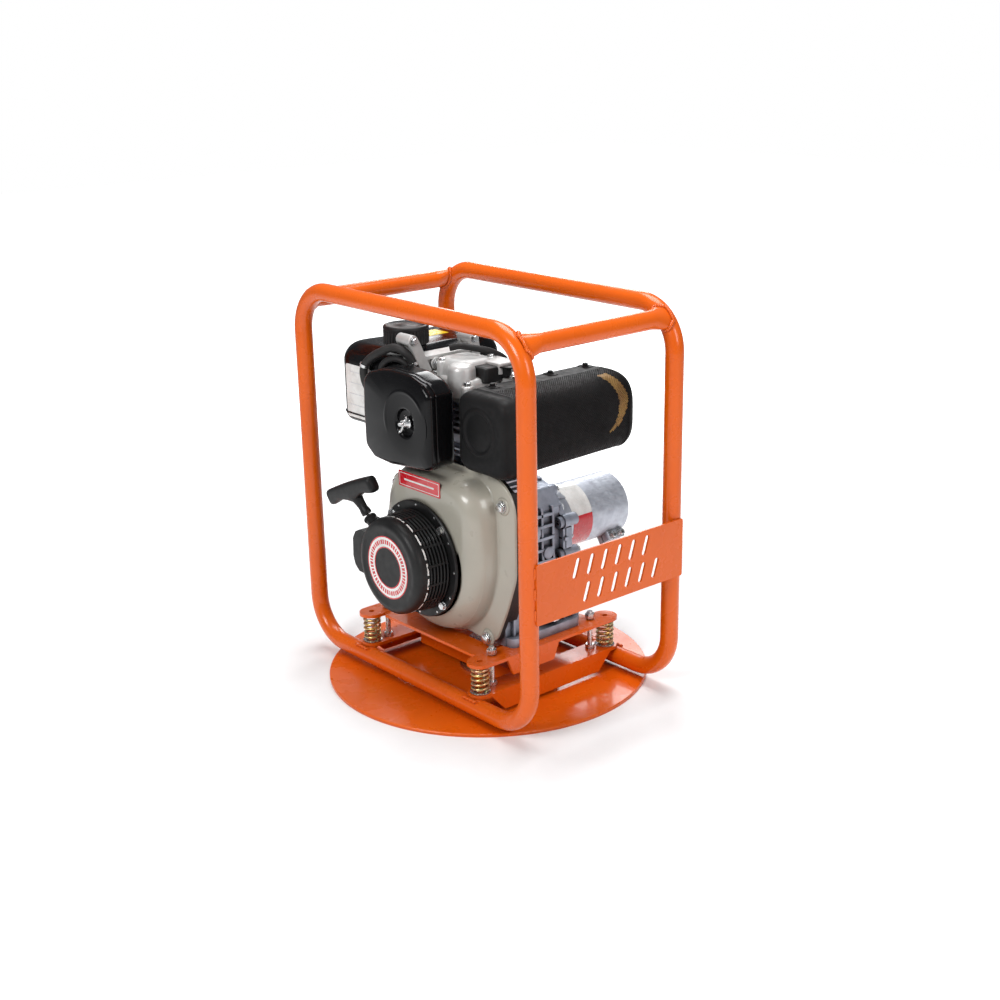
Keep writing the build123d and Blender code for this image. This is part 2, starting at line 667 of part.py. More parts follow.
# ================================================================ coupling housing
TUBE_START = 134.0
with BuildPart() as coupling_housing:
    with BuildSketch(AXIAL):
        Polygon((COVER_REAR, 46), (COVER_REAR, 74), (COVER_REAR + 9, 74), (COVER_REAR + 9, 60),
                (TUBE_START, 53), (168, 51), (COUPLING_END - 2, 51), (COUPLING_END, 49),
                (COUPLING_END, COUPLING_BORE_R), (COUPLING_END - COUPLING_BORE_L, COUPLING_BORE_R),
                (COUPLING_END - COUPLING_BORE_L, 38), (132, 38), (112, 46), align=None)
    revolve(axis=CRANK_AXIS)
    # radial ribs from the flange to the tube, and a lug round each flange screw
    for i in range(10):
        rib_angle = (i + 0.5) * pi / 5
        rib_plane = Plane(origin=(0, 0, CRANK_Z), x_dir=(0, 1, 0),
                          z_dir=(sin(rib_angle), 0, cos(rib_angle)))
        with BuildSketch(rib_plane):
            Polygon((COVER_REAR + 4, 50), (COVER_REAR + 4, 72), (TUBE_START + 4, 52.5),
                    (TUBE_START + 4, 50), align=None)
        extrude(amount=2.5, both=True)
    with BuildSketch(rear_plane(COVER_REAR)):
        with PolarLocations(66, 5):
            Circle(11)
    extrude(amount=12)
    with BuildSketch(rear_plane(COVER_REAR + 12)):
        with PolarLocations(66, 5):
            Circle(9.4)
    extrude(amount=12, mode=Mode.SUBTRACT)
    # the tube's end is slit at the lower right and drawn together by a screw through two lugs
    lug_plane = Plane(origin=(0, COUPLING_END - 22, CRANK_Z), x_dir=(0, 1, 0), z_dir=(0.55, 0, -0.835))
    with BuildSketch(lug_plane.offset(44)):
        RectangleRounded(38, 28, 5)
    extrude(amount=19)
    with BuildSketch(rear_plane(COUPLING_END - COUPLING_BORE_L)):
        Circle(COUPLING_BORE_R)
    extrude(amount=COUPLING_BORE_L, mode=Mode.SUBTRACT)
    with BuildSketch(lug_plane.offset(36)):
        with Locations((-4, 0)):
            Rectangle(44, 2.6)
    extrude(amount=30, mode=Mode.SUBTRACT)
    with BuildSketch(rear_plane(COVER_REAR)):
        with PolarLocations(66, 5):
            Circle(4.05)
    extrude(amount=13, mode=Mode.SUBTRACT)
export(coupling_housing, "coupling_housing")

CASE_SCREW = hex_screw(13, 5.3, 4.0, 11)
with BuildPart() as case_screws:
    for i in range(10):
        seat = LONG_TOWER_REAR if i == LONG_TOWER else TOWER_REAR
        with Locations(rear_plane(seat)):
            with PolarLocations(SCREW_RING_R, 1, start_angle=18 + 36 * i):
                add(hex_screw(13, 5.3, 4.0, seat - CASE_REAR - 4))
    with Locations(rear_plane(COVER_REAR + 12)):
        with PolarLocations(66, 5):
            add(CASE_SCREW)
export(case_screws, "case_screws")

# ================================================================ cooling shroud
FLANGE_R = 122.0
RECOIL_SCREW_R = 81.3
SHROUD_SCREWS = [(136, 313), (97, 101), (-106, 296)]    # x and z; the last has its own lug
with BuildPart() as fan_shroud:
    with BuildSketch(front_plane(SHROUD_FLANGE + 5, 0, 0)):
        with Locations((0, CRANK_Z)):
            Circle(FLANGE_R)
        Polygon((-110, 262), (-96, 318), (-62, 352), (122, 352), (148, 335), (159, 311),
                (158, 207), (139, 155), (112, 98), (60, 100), (0, 200), align=None)
        with Locations(SHROUD_SCREWS[-1]):
            Circle(13)
        with Locations(*SHROUD_SCREWS):
            Circle(3.05, mode=Mode.SUBTRACT)
    extrude(amount=5)
    with BuildSketch(front_plane(SHROUD_FLANGE + 1, 0, 0)):
        with Locations((0, CRANK_Z)):
            Circle(118)
        Polygon((-104, 262), (-88, 312), (-58, 343), (92, 343), (112, 328), (121, 304),
                (123, 210), (108, 160), (0, 200), align=None)
    extrude(amount=SHROUD_FLANGE + 1 - SHROUD_FRONT)
    fillet(fan_shroud.faces().sort_by(Axis.Y)[0].edges(), radius=9)
    with BuildSketch(front_plane(SHROUD_FLANGE + 6, 0, 0)):
        with Locations((0, CRANK_Z)):
            Circle(115)
        Polygon((-101, 262), (-85, 310), (-57, 340), (90, 340), (109, 326), (118, 303),
                (120, 210), (105, 161), (0, 200), align=None)
    extrude(amount=SHROUD_FLANGE + 6 - SHROUD_FRONT - 3, mode=Mode.SUBTRACT)
    with BuildSketch(front_plane(SHROUD_FRONT + 6)):
        Circle(74)
        with PolarLocations(RECOIL_SCREW_R, 4, start_angle=45):
            Circle(3.05)
    extrude(amount=8, mode=Mode.SUBTRACT)
export(fan_shroud, "fan_shroud")

with BuildPart() as shroud_backplate:
    with BuildSketch(front_plane(PLATE_FRONT + 9, 0, 0)):
        with Locations((0, CRANK_Z)):
            Circle(FLANGE_R - 1)
        Polygon((-106, 262), (-92, 316), (-60, 348), (120, 348), (145, 332), (156, 310),
                (155, 207), (136, 155), (108, 102), (60, 104), (0, 200), align=None)
        with Locations((0, CRANK_Z)):
            Circle(101, mode=Mode.SUBTRACT)
        with Locations((0, 322)):
            Rectangle(90, 30, mode=Mode.SUBTRACT)
        with Locations(SHROUD_SCREWS[-1]):
            Circle(12)
        with Locations(*SHROUD_SCREWS):
            Circle(3.05, mode=Mode.SUBTRACT)
    extrude(amount=9)
export(shroud_backplate, "shroud_backplate")

# ================================================================ recoil starter
RECOIL_R = 88.5
GUIDE_L = 28.0
guide_plane = Plane(origin=(-58, -156, CRANK_Z + 36), x_dir=(0, 1, 0), z_dir=(-0.86, 0, 0.51))
with BuildPart() as recoil_housing:
    with BuildSketch(AXIAL):
        Polygon((RECOIL_REAR, 70), (RECOIL_REAR, RECOIL_R), (RECOIL_REAR - 4, RECOIL_R),
                (RECOIL_REAR - 4, 74), (-150, 71.5), (-160, 71), (-178, 71), (-185, 66),
                (RECOIL_FRONT, 60), (RECOIL_FRONT, 0), (-183, 0), (-183, 60), (-178, 66.5),
                (-150, 66.5), (-134, 70), align=None)
    revolve(axis=CRANK_AXIS)
    with BuildSketch(front_plane(-129)):
        Circle(9)
    extrude(amount=54)
    # the rope's outlet chute, cooling air slots round the side wall, and the guide boss
    with BuildSketch(front_plane(-134, 0, 0)):
        Polygon((-58, 246), (-88, 246), (-99, 240), (-105, 228), (-106, 200), (-102, 187), (-92, 178),
                (-58, 176), align=None)
        with Locations((0, CRANK_Z)):
            Circle(69, mode=Mode.SUBTRACT)
    extrude(amount=38)
    with BuildSketch(front_plane(RECOIL_REAR - 7)):
        with PolarLocations(72, 24, start_angle=7.5):
            Rectangle(16, 7)
    extrude(amount=13, mode=Mode.SUBTRACT)
    with BuildSketch(guide_plane):
        Circle(9)
    extrude(amount=GUIDE_L)
    with BuildSketch(guide_plane.offset(-12)):
        Circle(3.5)
    extrude(amount=GUIDE_L + 14, mode=Mode.SUBTRACT)
    with BuildSketch(front_plane(RECOIL_REAR)):
        with PolarLocations(RECOIL_SCREW_R, 4, start_angle=45):
            Circle(3.05)
    extrude(amount=4, mode=Mode.SUBTRACT)
export(recoil_housing, "recoil_housing")

COVER_SCREW = hex_screw(10, 5.0, 3.0, 12)
with BuildPart() as cover_screws:
    with Locations(front_plane(RECOIL_REAR - 4)):
        with PolarLocations(RECOIL_SCREW_R, 4, start_angle=45):
            add(COVER_SCREW)
    with Locations(*[front_plane(SHROUD_FLANGE, x, z) for x, z in SHROUD_SCREWS]):
        add(COVER_SCREW)
export(cover_screws, "cover_screws")

with BuildPart() as starter_reel:
    with BuildSketch(AXIAL):
        Polygon((-166, 9 + RUN_GAP), (-166, 61), (-163, 61), (-160, ROPE_R), (-146, ROPE_R), (-143, 61),
                (-140, 61), (-140, 30), (-129, 30), (-129, 9 + RUN_GAP), align=None)
    revolve(axis=CRANK_AXIS)
    with BuildSketch(front_plane(-129)):
        with PolarLocations(29, 2):
            Rectangle(10, 14)
    extrude(amount=11)
export(starter_reel, "starter_reel")


def spiral_strip(turns, start_r, end_r, half_width, steps_per_turn):
    """The outline of a flat spiral spring, as points round its outer and inner edges."""
    count = int(turns * steps_per_turn)
    outer = []
    inner = []
    for i in range(count + 1):
        angle = 2 * pi * turns * i / count
        radius = start_r + (end_r - start_r) * i / count
        outer.append(((radius + half_width) * cos(angle), (radius + half_width) * sin(angle)))
        inner.append(((radius - half_width) * cos(angle), (radius - half_width) * sin(angle)))
    return outer + inner[::-1]


with BuildPart() as rewind_spring:
    with BuildSketch(front_plane(-168)):
        Polygon(*spiral_strip(6, 16, 55, 0.7, 20), align=None)
    extrude(amount=13)
export(rewind_spring, "rewind_spring")

GRIP_X = -112.0
GRIP_Y = -164.0
GRIP_Z = 300.0
STEM_L = 24.0
grip_centre = Vector(GRIP_X, GRIP_Y, GRIP_Z)
rope_start = guide_plane.origin + guide_plane.z_dir * (GUIDE_L - 10)
rope_dir = (grip_centre - (guide_plane.origin + guide_plane.z_dir * GUIDE_L)).normalized()
grip_dir = Vector(0.925, 0, 0.380)
with BuildPart() as starter_handle:
    grip_plane = Plane(origin=grip_centre, x_dir=grip_dir, z_dir=(0, -1, 0))
    with BuildSketch(grip_plane):
        Polygon((-60, 0), (-60, 8), (-52, 12), (-20, 11), (-12, 13), (12, 13), (20, 11), (52, 12),
                (60, 8), (60, 0), align=None)
    revolve(axis=Axis(grip_centre, grip_dir))
    with BuildSketch(Plane(origin=grip_centre, z_dir=rope_dir * -1)):
        Circle(10)
    extrude(amount=STEM_L, taper=8)
export(starter_handle, "starter_handle")

rope_bend = guide_plane.origin + guide_plane.z_dir * (GUIDE_L + 1)
rope_end = grip_centre - rope_dir * (STEM_L + 0.2)
with BuildPart() as starter_rope:
    with BuildSketch(Plane(origin=rope_start, z_dir=guide_plane.z_dir)):
        Circle(2)
    extrude(amount=(rope_bend - rope_start).length + 0.5)
    with BuildSketch(Plane(origin=rope_end, z_dir=rope_bend - rope_end)):
        Circle(2)
    extrude(amount=(rope_bend - rope_end).length)
export(starter_rope, "starter_rope")

# ================================================================ air cleaner
air_outline = [
    (-78, 356), (-36, 352), (52, 360), (60, 368), (60, 468), (46, 483), (14, 493),
    (-26, 494), (-56, 491), (-82, 483), (-94, 470), (-97, 424), (-95, 372),
]
with BuildPart() as air_cleaner_case:
    with BuildSketch(front_plane(AIR_REAR, 0, 0)):
        Polygon(*air_outline, align=None)
    extrude(amount=AIR_REAR - AIR_SPLIT)
    with BuildSketch(front_plane(AIR_REAR - 3, 0, 0)):
        with BuildLine():
            Polyline(*air_outline, close=True)
        make_face()
        offset(amount=-3, mode=Mode.REPLACE)
    extrude(amount=AIR_REAR - AIR_SPLIT, mode=Mode.SUBTRACT)
    with BuildSketch(front_plane(-60.5, INTAKE_X, INTAKE_Z)):
        Circle(19)
    extrude(amount=-60.5 - AIR_REAR)
    with BuildSketch(front_plane(-60.5, INTAKE_X, INTAKE_Z)):
        Circle(15)
    extrude(amount=-60.5 - AIR_REAR + 4, mode=Mode.SUBTRACT)
    with BuildSketch(front_plane(AIR_REAR, STUD_X, STUD_Z)):
        Circle(3)
    extrude(amount=49)
export(air_cleaner_case, "air_cleaner_case")

with BuildPart() as air_filter_element:
    with BuildSketch(front_plane(AIR_REAR - 4, 0, 424)):
        with Locations((-18, 0)):
            RectangleRounded(130, 100, 16)
            RectangleRounded(84, 56, 10, mode=Mode.SUBTRACT)
    extrude(amount=24)
export(air_filter_element, "air_filter_element")

DISH_R = 20.0
with BuildPart() as air_cleaner_cover:
    with BuildSketch(front_plane(AIR_SPLIT - 0.3, 0, 0)):
        Polygon(*air_outline, align=None)
    extrude(amount=AIR_SPLIT - 0.3 - AIR_FRONT)
    fillet(air_cleaner_cover.faces().sort_by(Axis.Y)[0].edges(), radius=4)
    with BuildSketch(front_plane(AIR_SPLIT, 0, 0)):
        with BuildLine():
            Polyline(*air_outline, close=True)
        make_face()
        offset(amount=-4, mode=Mode.REPLACE)
    extrude(amount=AIR_SPLIT - AIR_FRONT - 3, mode=Mode.SUBTRACT)
    with BuildSketch(front_plane(AIR_SPLIT - 6, STUD_X, STUD_Z)):
        Circle(DISH_R + 2.5)
    extrude(amount=AIR_SPLIT - 6 - AIR_FRONT - 0.5)
    with BuildSketch(front_plane(AIR_SPLIT - 8.5, STUD_X, STUD_Z)):
        Circle(DISH_R)
    extrude(amount=8, mode=Mode.SUBTRACT)
    with BuildSketch(front_plane(AIR_SPLIT, STUD_X, STUD_Z)):
        Circle(3.3)
    extrude(amount=16, mode=Mode.SUBTRACT)
export(air_cleaner_cover, "air_cleaner_cover")

with BuildPart() as wing_nut:
    with BuildSketch(front_plane(AIR_SPLIT - 8.8, STUD_X, STUD_Z)):
        Circle(7)
    extrude(amount=10)
    with BuildSketch(front_plane(AIR_SPLIT - 12.8, STUD_X, STUD_Z)):
        for sign in (1, -1):
            Polygon((sign * 3, -3), (sign * 3, 3), (sign * 13, 7), (sign * 16, 3), (sign * 14, -3),
                    align=None)
    extrude(amount=7)
    with BuildSketch(front_plane(AIR_SPLIT - 8, STUD_X, STUD_Z)):
        Circle(3 + RUN_GAP)
    extrude(amount=20, mode=Mode.SUBTRACT)
export(wing_nut, "wing_nut")

# ================================================================ muffler
MUFFLER_X = 122.0
MUFFLER_Z = 417.0
MUFFLER_W = 106.0
MUFFLER_H = 116.0
GUARD_FRONT = -80.0
GUARD_REAR = 145.0
with BuildPart() as muffler_front_cap:
    with BuildSketch(front_plane(GUARD_FRONT, MUFFLER_X, MUFFLER_Z)):
        RectangleRounded(MUFFLER_W, MUFFLER_H, 24)
    extrude(amount=29)
    fillet(muffler_front_cap.faces().sort_by(Axis.Y)[0].edges(), radius=8)
    with BuildSketch(front_plane(GUARD_FRONT, MUFFLER_X, MUFFLER_Z)):
        RectangleRounded(MUFFLER_W - 5, MUFFLER_H - 5, 21.5)
    extrude(amount=26, mode=Mode.SUBTRACT)
export(muffler_front_cap, "muffler_front_cap")

with BuildPart() as muffler_guard:
    with BuildSketch(front_plane(GUARD_REAR, MUFFLER_X, MUFFLER_Z)):
        RectangleRounded(MUFFLER_W - 2, MUFFLER_H - 2, 23)
    extrude(amount=GUARD_REAR - GUARD_FRONT - 0.3)
    fillet(muffler_guard.faces().sort_by(Axis.Y)[-1].edges(), radius=8)
    with BuildSketch(front_plane(GUARD_REAR - 3, MUFFLER_X, MUFFLER_Z)):
        RectangleRounded(MUFFLER_W - 6, MUFFLER_H - 6, 21)
    extrude(amount=GUARD_REAR - GUARD_FRONT, mode=Mode.SUBTRACT)
    with BuildSketch(Plane.YZ.offset(MUFFLER_X - MUFFLER_W / 2 - 2)):
        with Locations((EXHAUST_Y, EXHAUST_Z)):
            RectangleRounded(52, 52, 8)
    extrude(amount=12, mode=Mode.SUBTRACT)
export(muffler_guard, "muffler_guard")

with BuildPart() as muffler_body:
    with BuildSketch(front_plane(122, MUFFLER_X, MUFFLER_Z)):
        RectangleRounded(84, 92, 20)
    extrude(amount=210)
    fillet(muffler_body.faces().sort_by(Axis.Y)[0].edges(), radius=8)
    fillet(muffler_body.faces().sort_by(Axis.Y)[-1].edges(), radius=8)
    with BuildSketch(Plane.YZ.offset(HEAD_PORT_X + 0.2)):
        with Locations((EXHAUST_Y, EXHAUST_Z)):
            Circle(18)
    extrude(amount=20)
    with BuildSketch(front_plane(119, MUFFLER_X, MUFFLER_Z)):
        RectangleRounded(79, 87, 17.5)
    extrude(amount=204, mode=Mode.SUBTRACT)
    with BuildSketch(Plane.YZ.offset(HEAD_PORT_X)):
        with Locations((EXHAUST_Y, EXHAUST_Z)):
            Circle(13)
    extrude(amount=22, mode=Mode.SUBTRACT)
export(muffler_body, "muffler_body")

# ================================================================ fuel system
TANK_LEFT = -211.0
TANK_RIGHT = -78.0
TANK_FRONT = -107.0
TANK_REAR = 108.0
TANK_LOW = 380.0
TANK_HIGH = 503.0
STUB_LOW = 359.0
NECK_TOP = 522.0
TANK_WALL = 2.5


def tank_block(inset):
    """The tank's rounded body, shrunk by inset all round; one corner clears the air cleaner."""
    with BuildPart() as block:
        with BuildSketch(Plane.XY.offset(TANK_LOW + inset)) as plan:
            with BuildLine():
                Polyline((TANK_LEFT, TANK_FRONT), (-112, TANK_FRONT), (TANK_RIGHT, -80),
                         (TANK_RIGHT, TANK_REAR), (TANK_LEFT, TANK_REAR), close=True)
            make_face()
            fillet(plan.vertices(), radius=20)
            if inset:
                offset(amount=-inset, mode=Mode.REPLACE)
        extrude(amount=TANK_HIGH - TANK_LOW - 2 * inset)
        fillet(block.edges().group_by(Axis.Z)[-1], radius=18 - inset)
        fillet(block.edges().group_by(Axis.Z)[0], radius=12 - inset)
    return block.part


with BuildPart() as fuel_tank:
    add(tank_block(0))
    with BuildSketch(Plane.XY.offset(TANK_HIGH - 4)):
        with Locations((CAP_X, CAP_Y)):
            Circle(26)
    extrude(amount=NECK_TOP - TANK_HIGH + 4)
    add(tank_block(TANK_WALL), mode=Mode.SUBTRACT)
    with BuildSketch(Plane.XY.offset(TANK_HIGH - 20)):
        with Locations((CAP_X, CAP_Y)):
            Circle(22)
    extrude(amount=60, mode=Mode.SUBTRACT)
    # outlet stub that carries the fuel tap
    with BuildSketch(Plane.XY.offset(TANK_LOW + 1)):
        with Locations((-140, 30)):
            Circle(9)
    extrude(amount=STUB_LOW - TANK_LOW - 1)
export(fuel_tank, "fuel_tank")

with BuildPart() as fuel_cap:
    with BuildSketch(Plane.XY.offset(TANK_HIGH + 3)):
        with Locations((CAP_X, CAP_Y)):
            Circle(34)
    extrude(amount=28)
    fillet(fuel_cap.edges().group_by(Axis.Z)[-1], radius=4)
    with BuildSketch(Plane.XY.offset(TANK_HIGH + 3)):
        with Locations((CAP_X, CAP_Y)):
            Circle(26 + RUN_GAP)
    extrude(amount=22, mode=Mode.SUBTRACT)
    with BuildSketch(Plane.XY.offset(TANK_HIGH + 3)):
        with Locations((CAP_X, CAP_Y)):
            with PolarLocations(34.4, 30):
                Circle(1.2, mode=Mode.ADD)
    extrude(amount=22)
    with BuildSketch(Plane.XY.offset(TANK_HIGH + 3)):
        with Locations((CAP_X, CAP_Y)):
            Circle(26 + RUN_GAP)
    extrude(amount=22, mode=Mode.SUBTRACT)
export(fuel_cap, "fuel_cap")

BRACKET_X = -75.0
with BuildPart() as tank_bracket:
    with BuildSketch(Plane.YZ.offset(BRACKET_X)):
        Polygon((-66, 442), (-62, 470), (-84, 512), (-84, 524), (-76, 527), (-64, 524), (-54, 508),
                (2, 505), (12, 517), (40, 515), (48, 504), (48, 442), align=None)
    extrude(amount=9)
    with BuildSketch(Plane.XY.offset(HEAD_TOP)):
        with Locations((-60, 36)):
            Rectangle(20, 24)
        with Locations((-60, -48)):
            Rectangle(14, 12)
    extrude(amount=8)
    for arm_y, arm_z in ((-80, 515), (-66, 512), (16, 507), (40, 507)):
        with BuildSketch(Plane.YZ.offset(BRACKET_X - 1)):
            with Locations((arm_y, arm_z)):
                Rectangle(6, 14)
        extrude(amount=18)
export(tank_bracket, "tank_bracket")

with BuildPart() as fuel_tap_lever:
    with BuildSketch(Plane.XZ.offset(-39.5)):
        with Locations((-140, 368)):
            Circle(6)
            with Locations((10, 0)):
                RectangleRounded(26, 7, 3)
    extrude(amount=-5)
export(fuel_tap_lever, "fuel_tap_lever")

PUMP_X = -140.0
with BuildPart() as injection_pump:
    with BuildSketch(Plane.XY.offset(226)):
        with Locations((-126, -30)):
            RectangleRounded(26, 30, 4)
    extrude(amount=56)
    with BuildSketch(Plane.XY.offset(282)):
        with Locations((-128, -30)):
            Circle(9)
    extrude(amount=10)
export(injection_pump, "injection_pump")

with BuildPart() as fuel_hose:
    with BuildLine() as hose_path:
        Spline((-140, 30, 357.5), (-142, 22, 330), (-130, -24, 308), (-128, -30, 292.8),
               tangents=((0, 0, -1), (0, 0, -1)))
    with BuildSketch(Plane(origin=hose_path.line @ 0, z_dir=hose_path.line % 0)):
        Circle(4)
        Circle(2.2, mode=Mode.SUBTRACT)
    sweep()
export(fuel_hose, "fuel_hose")

# ================================================================ controls and plugs
with BuildPart() as decompression_lever:
    with BuildSketch(Plane.XY.offset(HEAD_TOP + 30.3)):
        with Locations((36, 4)):
            Circle(13)
            with Locations((14, 0)):
                RectangleRounded(30, 11, 4)
    extrude(amount=18)
    fillet(decompression_lever.edges().group_by(Axis.Z)[-1], radius=2)
export(decompression_lever, "decompression_lever")

with BuildPart() as speed_lever:
    with BuildSketch(Plane.YZ.offset(-128)):
        with Locations((50, 218)):
            Circle(9)
            with Locations((0, 26)):
                RectangleRounded(11, 58, 5)
            with Locations((0, 48)):
                Circle(2.6, mode=Mode.SUBTRACT)
    extrude(amount=4)
    with BuildSketch(Plane.YZ.offset(-124)):
        with Locations((50, 218)):
            Circle(5)
    extrude(amount=-8)
export(speed_lever, "speed_lever")

with BuildPart() as oil_filler_cap:
    with BuildSketch(Plane.YZ.offset(-125.3)):
        with Locations((15, 170)):
            Circle(15)
            with PolarLocations(14.6, 12):
                Circle(2)
    extrude(amount=-12)
    with BuildSketch(Plane.YZ.offset(-125.3)):
        with Locations((15, 170)):
            Circle(10)
    extrude(amount=18)
export(oil_filler_cap, "oil_filler_cap")

with BuildPart() as drain_plug:
    with BuildSketch(Plane.YZ.offset(125.2)):
        with Locations((20, 119)):
            Circle(12)
    extrude(amount=3)
    with BuildSketch(Plane.YZ.offset(128.2)):
        with Locations((20, 119)):
            RegularPolygon(8.5, 6, major_radius=False)
    extrude(amount=8)
    with BuildSketch(Plane.YZ.offset(125.2)):
        with Locations((20, 119)):
            Circle(7)
    extrude(amount=-12)
export(drain_plug, "drain_plug")
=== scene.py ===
import math
import bmesh
import bpy
from mathutils import Matrix, Vector


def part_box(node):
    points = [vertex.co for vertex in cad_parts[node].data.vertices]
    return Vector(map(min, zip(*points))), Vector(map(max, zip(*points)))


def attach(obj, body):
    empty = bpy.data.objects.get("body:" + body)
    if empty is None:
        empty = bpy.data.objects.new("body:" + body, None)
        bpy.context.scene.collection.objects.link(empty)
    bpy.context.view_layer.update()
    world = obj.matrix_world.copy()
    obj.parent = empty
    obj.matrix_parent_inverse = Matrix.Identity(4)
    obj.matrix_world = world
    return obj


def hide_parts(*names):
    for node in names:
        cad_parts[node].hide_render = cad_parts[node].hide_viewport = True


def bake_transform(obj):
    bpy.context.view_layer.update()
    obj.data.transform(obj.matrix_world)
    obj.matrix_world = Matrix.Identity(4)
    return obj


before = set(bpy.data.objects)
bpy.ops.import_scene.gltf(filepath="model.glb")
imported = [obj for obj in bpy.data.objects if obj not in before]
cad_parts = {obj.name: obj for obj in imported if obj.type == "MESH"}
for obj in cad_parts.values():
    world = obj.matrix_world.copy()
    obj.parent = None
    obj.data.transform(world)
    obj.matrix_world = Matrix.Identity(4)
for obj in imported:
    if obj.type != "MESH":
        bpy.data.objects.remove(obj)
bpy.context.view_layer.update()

# Diesel drive unit for flexible shafts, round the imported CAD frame. Shapes are given in
# millimetres and scaled to metres when a piece is made. +X is the muffler side, -Y the recoil
# starter side, +Y the coupling side.
MM = 0.001
CRANK_Z = 212.0
TAU = math.tau


def node_box(name):
    """A CAD node's lowest and highest corner, in millimetres."""
    low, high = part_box(name)
    return low / MM, high / MM


# ---------------------------------------------------------------- materials
class Finish:
    """A node material, built up in procedural layers on a Principled shader."""

    def __init__(self, name, roughness=0.5, metallic=0.0, coat=0.0, shine=0.5):
        self.material = bpy.data.materials.new(name)
        self.material.use_nodes = True
        self.tree = self.material.node_tree
        self.shader = self.tree.nodes["Principled BSDF"]
        self.where = self.node("ShaderNodeTexCoord", {}).outputs["Object"]
        self.normal = None
        self.feed("Roughness", roughness)
        self.feed("Metallic", metallic)
        self.feed("Coat Weight", coat)
        self.feed("Specular IOR Level", shine)
        self.feed("Coat Roughness", 0.08)

    def node(self, kind, inputs, **settings):
        made = self.tree.nodes.new(kind)
        for key, value in settings.items():
            setattr(made, key, value)
        for key, value in inputs.items():
            self.connect(made.inputs[key], value)
        return made

    def connect(self, socket, value):
        if isinstance(value, bpy.types.NodeSocket):
            self.tree.links.new(value, socket)
        else:
            socket.default_value = value

    def feed(self, name, value):
        self.connect(self.shader.inputs[name], value)

    def noise(self, scale, detail=2.0, stretch=None):
        vector = self.where
        if stretch:
            vector = self.node("ShaderNodeMapping", {"Vector": vector, "Scale": stretch})
            vector = vector.outputs["Vector"]
        made = self.node("ShaderNodeTexNoise", {"Vector": vector, "Scale": scale, "Detail": detail})
        return made.outputs["Fac"]

    def spread(self, value, low, high, to_low=0.0, to_high=1.0):
        made = self.node("ShaderNodeMapRange", {"Value": value, "From Min": low, "From Max": high,
                                                "To Min": to_low, "To Max": to_high})
        return made.outputs["Result"]

    def mix(self, share, first, second):
        made = self.node("ShaderNodeMix", {0: share, 6: first, 7: second}, data_type="RGBA")
        return made.outputs[2]

    def occlusion_shade(self, reach_mm):
        """Ambient occlusion as a mask for painted shade: 0 in corners and gaps, 1 in the open."""
        made = self.node("ShaderNodeAmbientOcclusion", {"Distance": reach_mm * MM}, samples=6)
        return made.outputs["AO"]

    def bump(self, height, depth_mm):
        inputs = {"Height": height, "Distance": depth_mm * MM}
        if self.normal:
            inputs["Normal"] = self.normal
        self.normal = self.node("ShaderNodeBump", inputs).outputs["Normal"]
        self.feed("Normal", self.normal)
        return self


def rgb(red, green, blue):
    return (red, green, blue, 1.0)


def layered(tone, colours, rough, bumps=(), corner_shade=None, patches=(0.3, 0.7)):
    """A recipe of two colours in soft patches, with painted shade in the corners, roughness and bumps.

    tone is (noise scale, detail) and patches the noise levels where each colour is pure. rough is
    (noise scale, detail, smoothest, roughest), a bump is (noise scale, detail, depth in mm), and
    the painted shade in corners and gaps is (reach in mm, darkest, unshaded, colour).
    """
    def build(finish):
        skin = finish.mix(finish.spread(finish.noise(*tone), *patches), *colours)
        # Painted shade: ambient occlusion darkens the colour towards a shade colour in corners and gaps.
        if corner_shade:
            reach, darkest, unshaded, painted_shade = corner_shade
            skin = finish.mix(finish.spread(finish.occlusion_shade(reach), darkest, unshaded), painted_shade, skin)
        finish.feed("Base Color", skin)
        scale, detail, smoothest, roughest = rough
        finish.feed("Roughness", finish.spread(finish.noise(scale, detail), 0.3, 0.7, smoothest, roughest))
        for scale, detail, depth in bumps:
            finish.bump(finish.noise(scale, detail), depth)
    return build


def orange_powder_coat(finish):
    tone = finish.spread(finish.noise(7, 4), 0.35, 0.68)
    unshaded = finish.mix(tone, rgb(0.76, 0.120, 0.003), rgb(0.70, 0.104, 0.0025))
    # Painted shade: a darker orange laid into corners and gaps by ambient occlusion.
    corner_shade = finish.spread(finish.occlusion_shade(9), 0.35, 0.85)
    shaded_coat = finish.mix(corner_shade, rgb(0.50, 0.068, 0.003), unshaded)
    speck = finish.spread(finish.noise(260, 3), 0.70, 0.76)
    finish.feed("Base Color", finish.mix(speck, shaded_coat, rgb(0.70, 0.14, 0.02)))
    finish.feed("Roughness", finish.spread(finish.noise(32, 4), 0.3, 0.7, 0.22, 0.36))
    finish.bump(finish.noise(420, 1), 0.035).bump(finish.noise(60, 2), 0.12)


def weld_metal(finish):
    orange_powder_coat(finish)
    finish.bump(finish.noise(520, 4), 0.25)


def yellow_zinc(finish):
    hue = finish.spread(finish.noise(95, 3), 0.36, 0.64)
    gold = finish.mix(hue, rgb(0.80, 0.60, 0.20), rgb(0.62, 0.34, 0.22))
    green = finish.spread(finish.noise(150, 2), 0.5, 0.68)
    film = finish.mix(green, gold, rgb(0.40, 0.46, 0.26))
    # Painted shade: near-black brown laid into corners and gaps by ambient occlusion.
    painted_shade = finish.spread(finish.occlusion_shade(4), 0.2, 0.75)
    finish.feed("Base Color", finish.mix(painted_shade, rgb(0.06, 0.045, 0.03), film))
    finish.feed("Roughness", finish.spread(finish.noise(300, 2), 0.3, 0.7, 0.2, 0.38))


def turned_steel(finish):
    lines = finish.noise(900, 2, stretch=(1, 9, 1))
    tone = finish.spread(lines, 0.3, 0.7)
    finish.feed("Base Color", finish.mix(tone, rgb(0.60, 0.60, 0.61), rgb(0.44, 0.44, 0.46)))
    finish.feed("Roughness", finish.spread(lines, 0.3, 0.7, 0.2, 0.36))
    finish.bump(lines, 0.03)


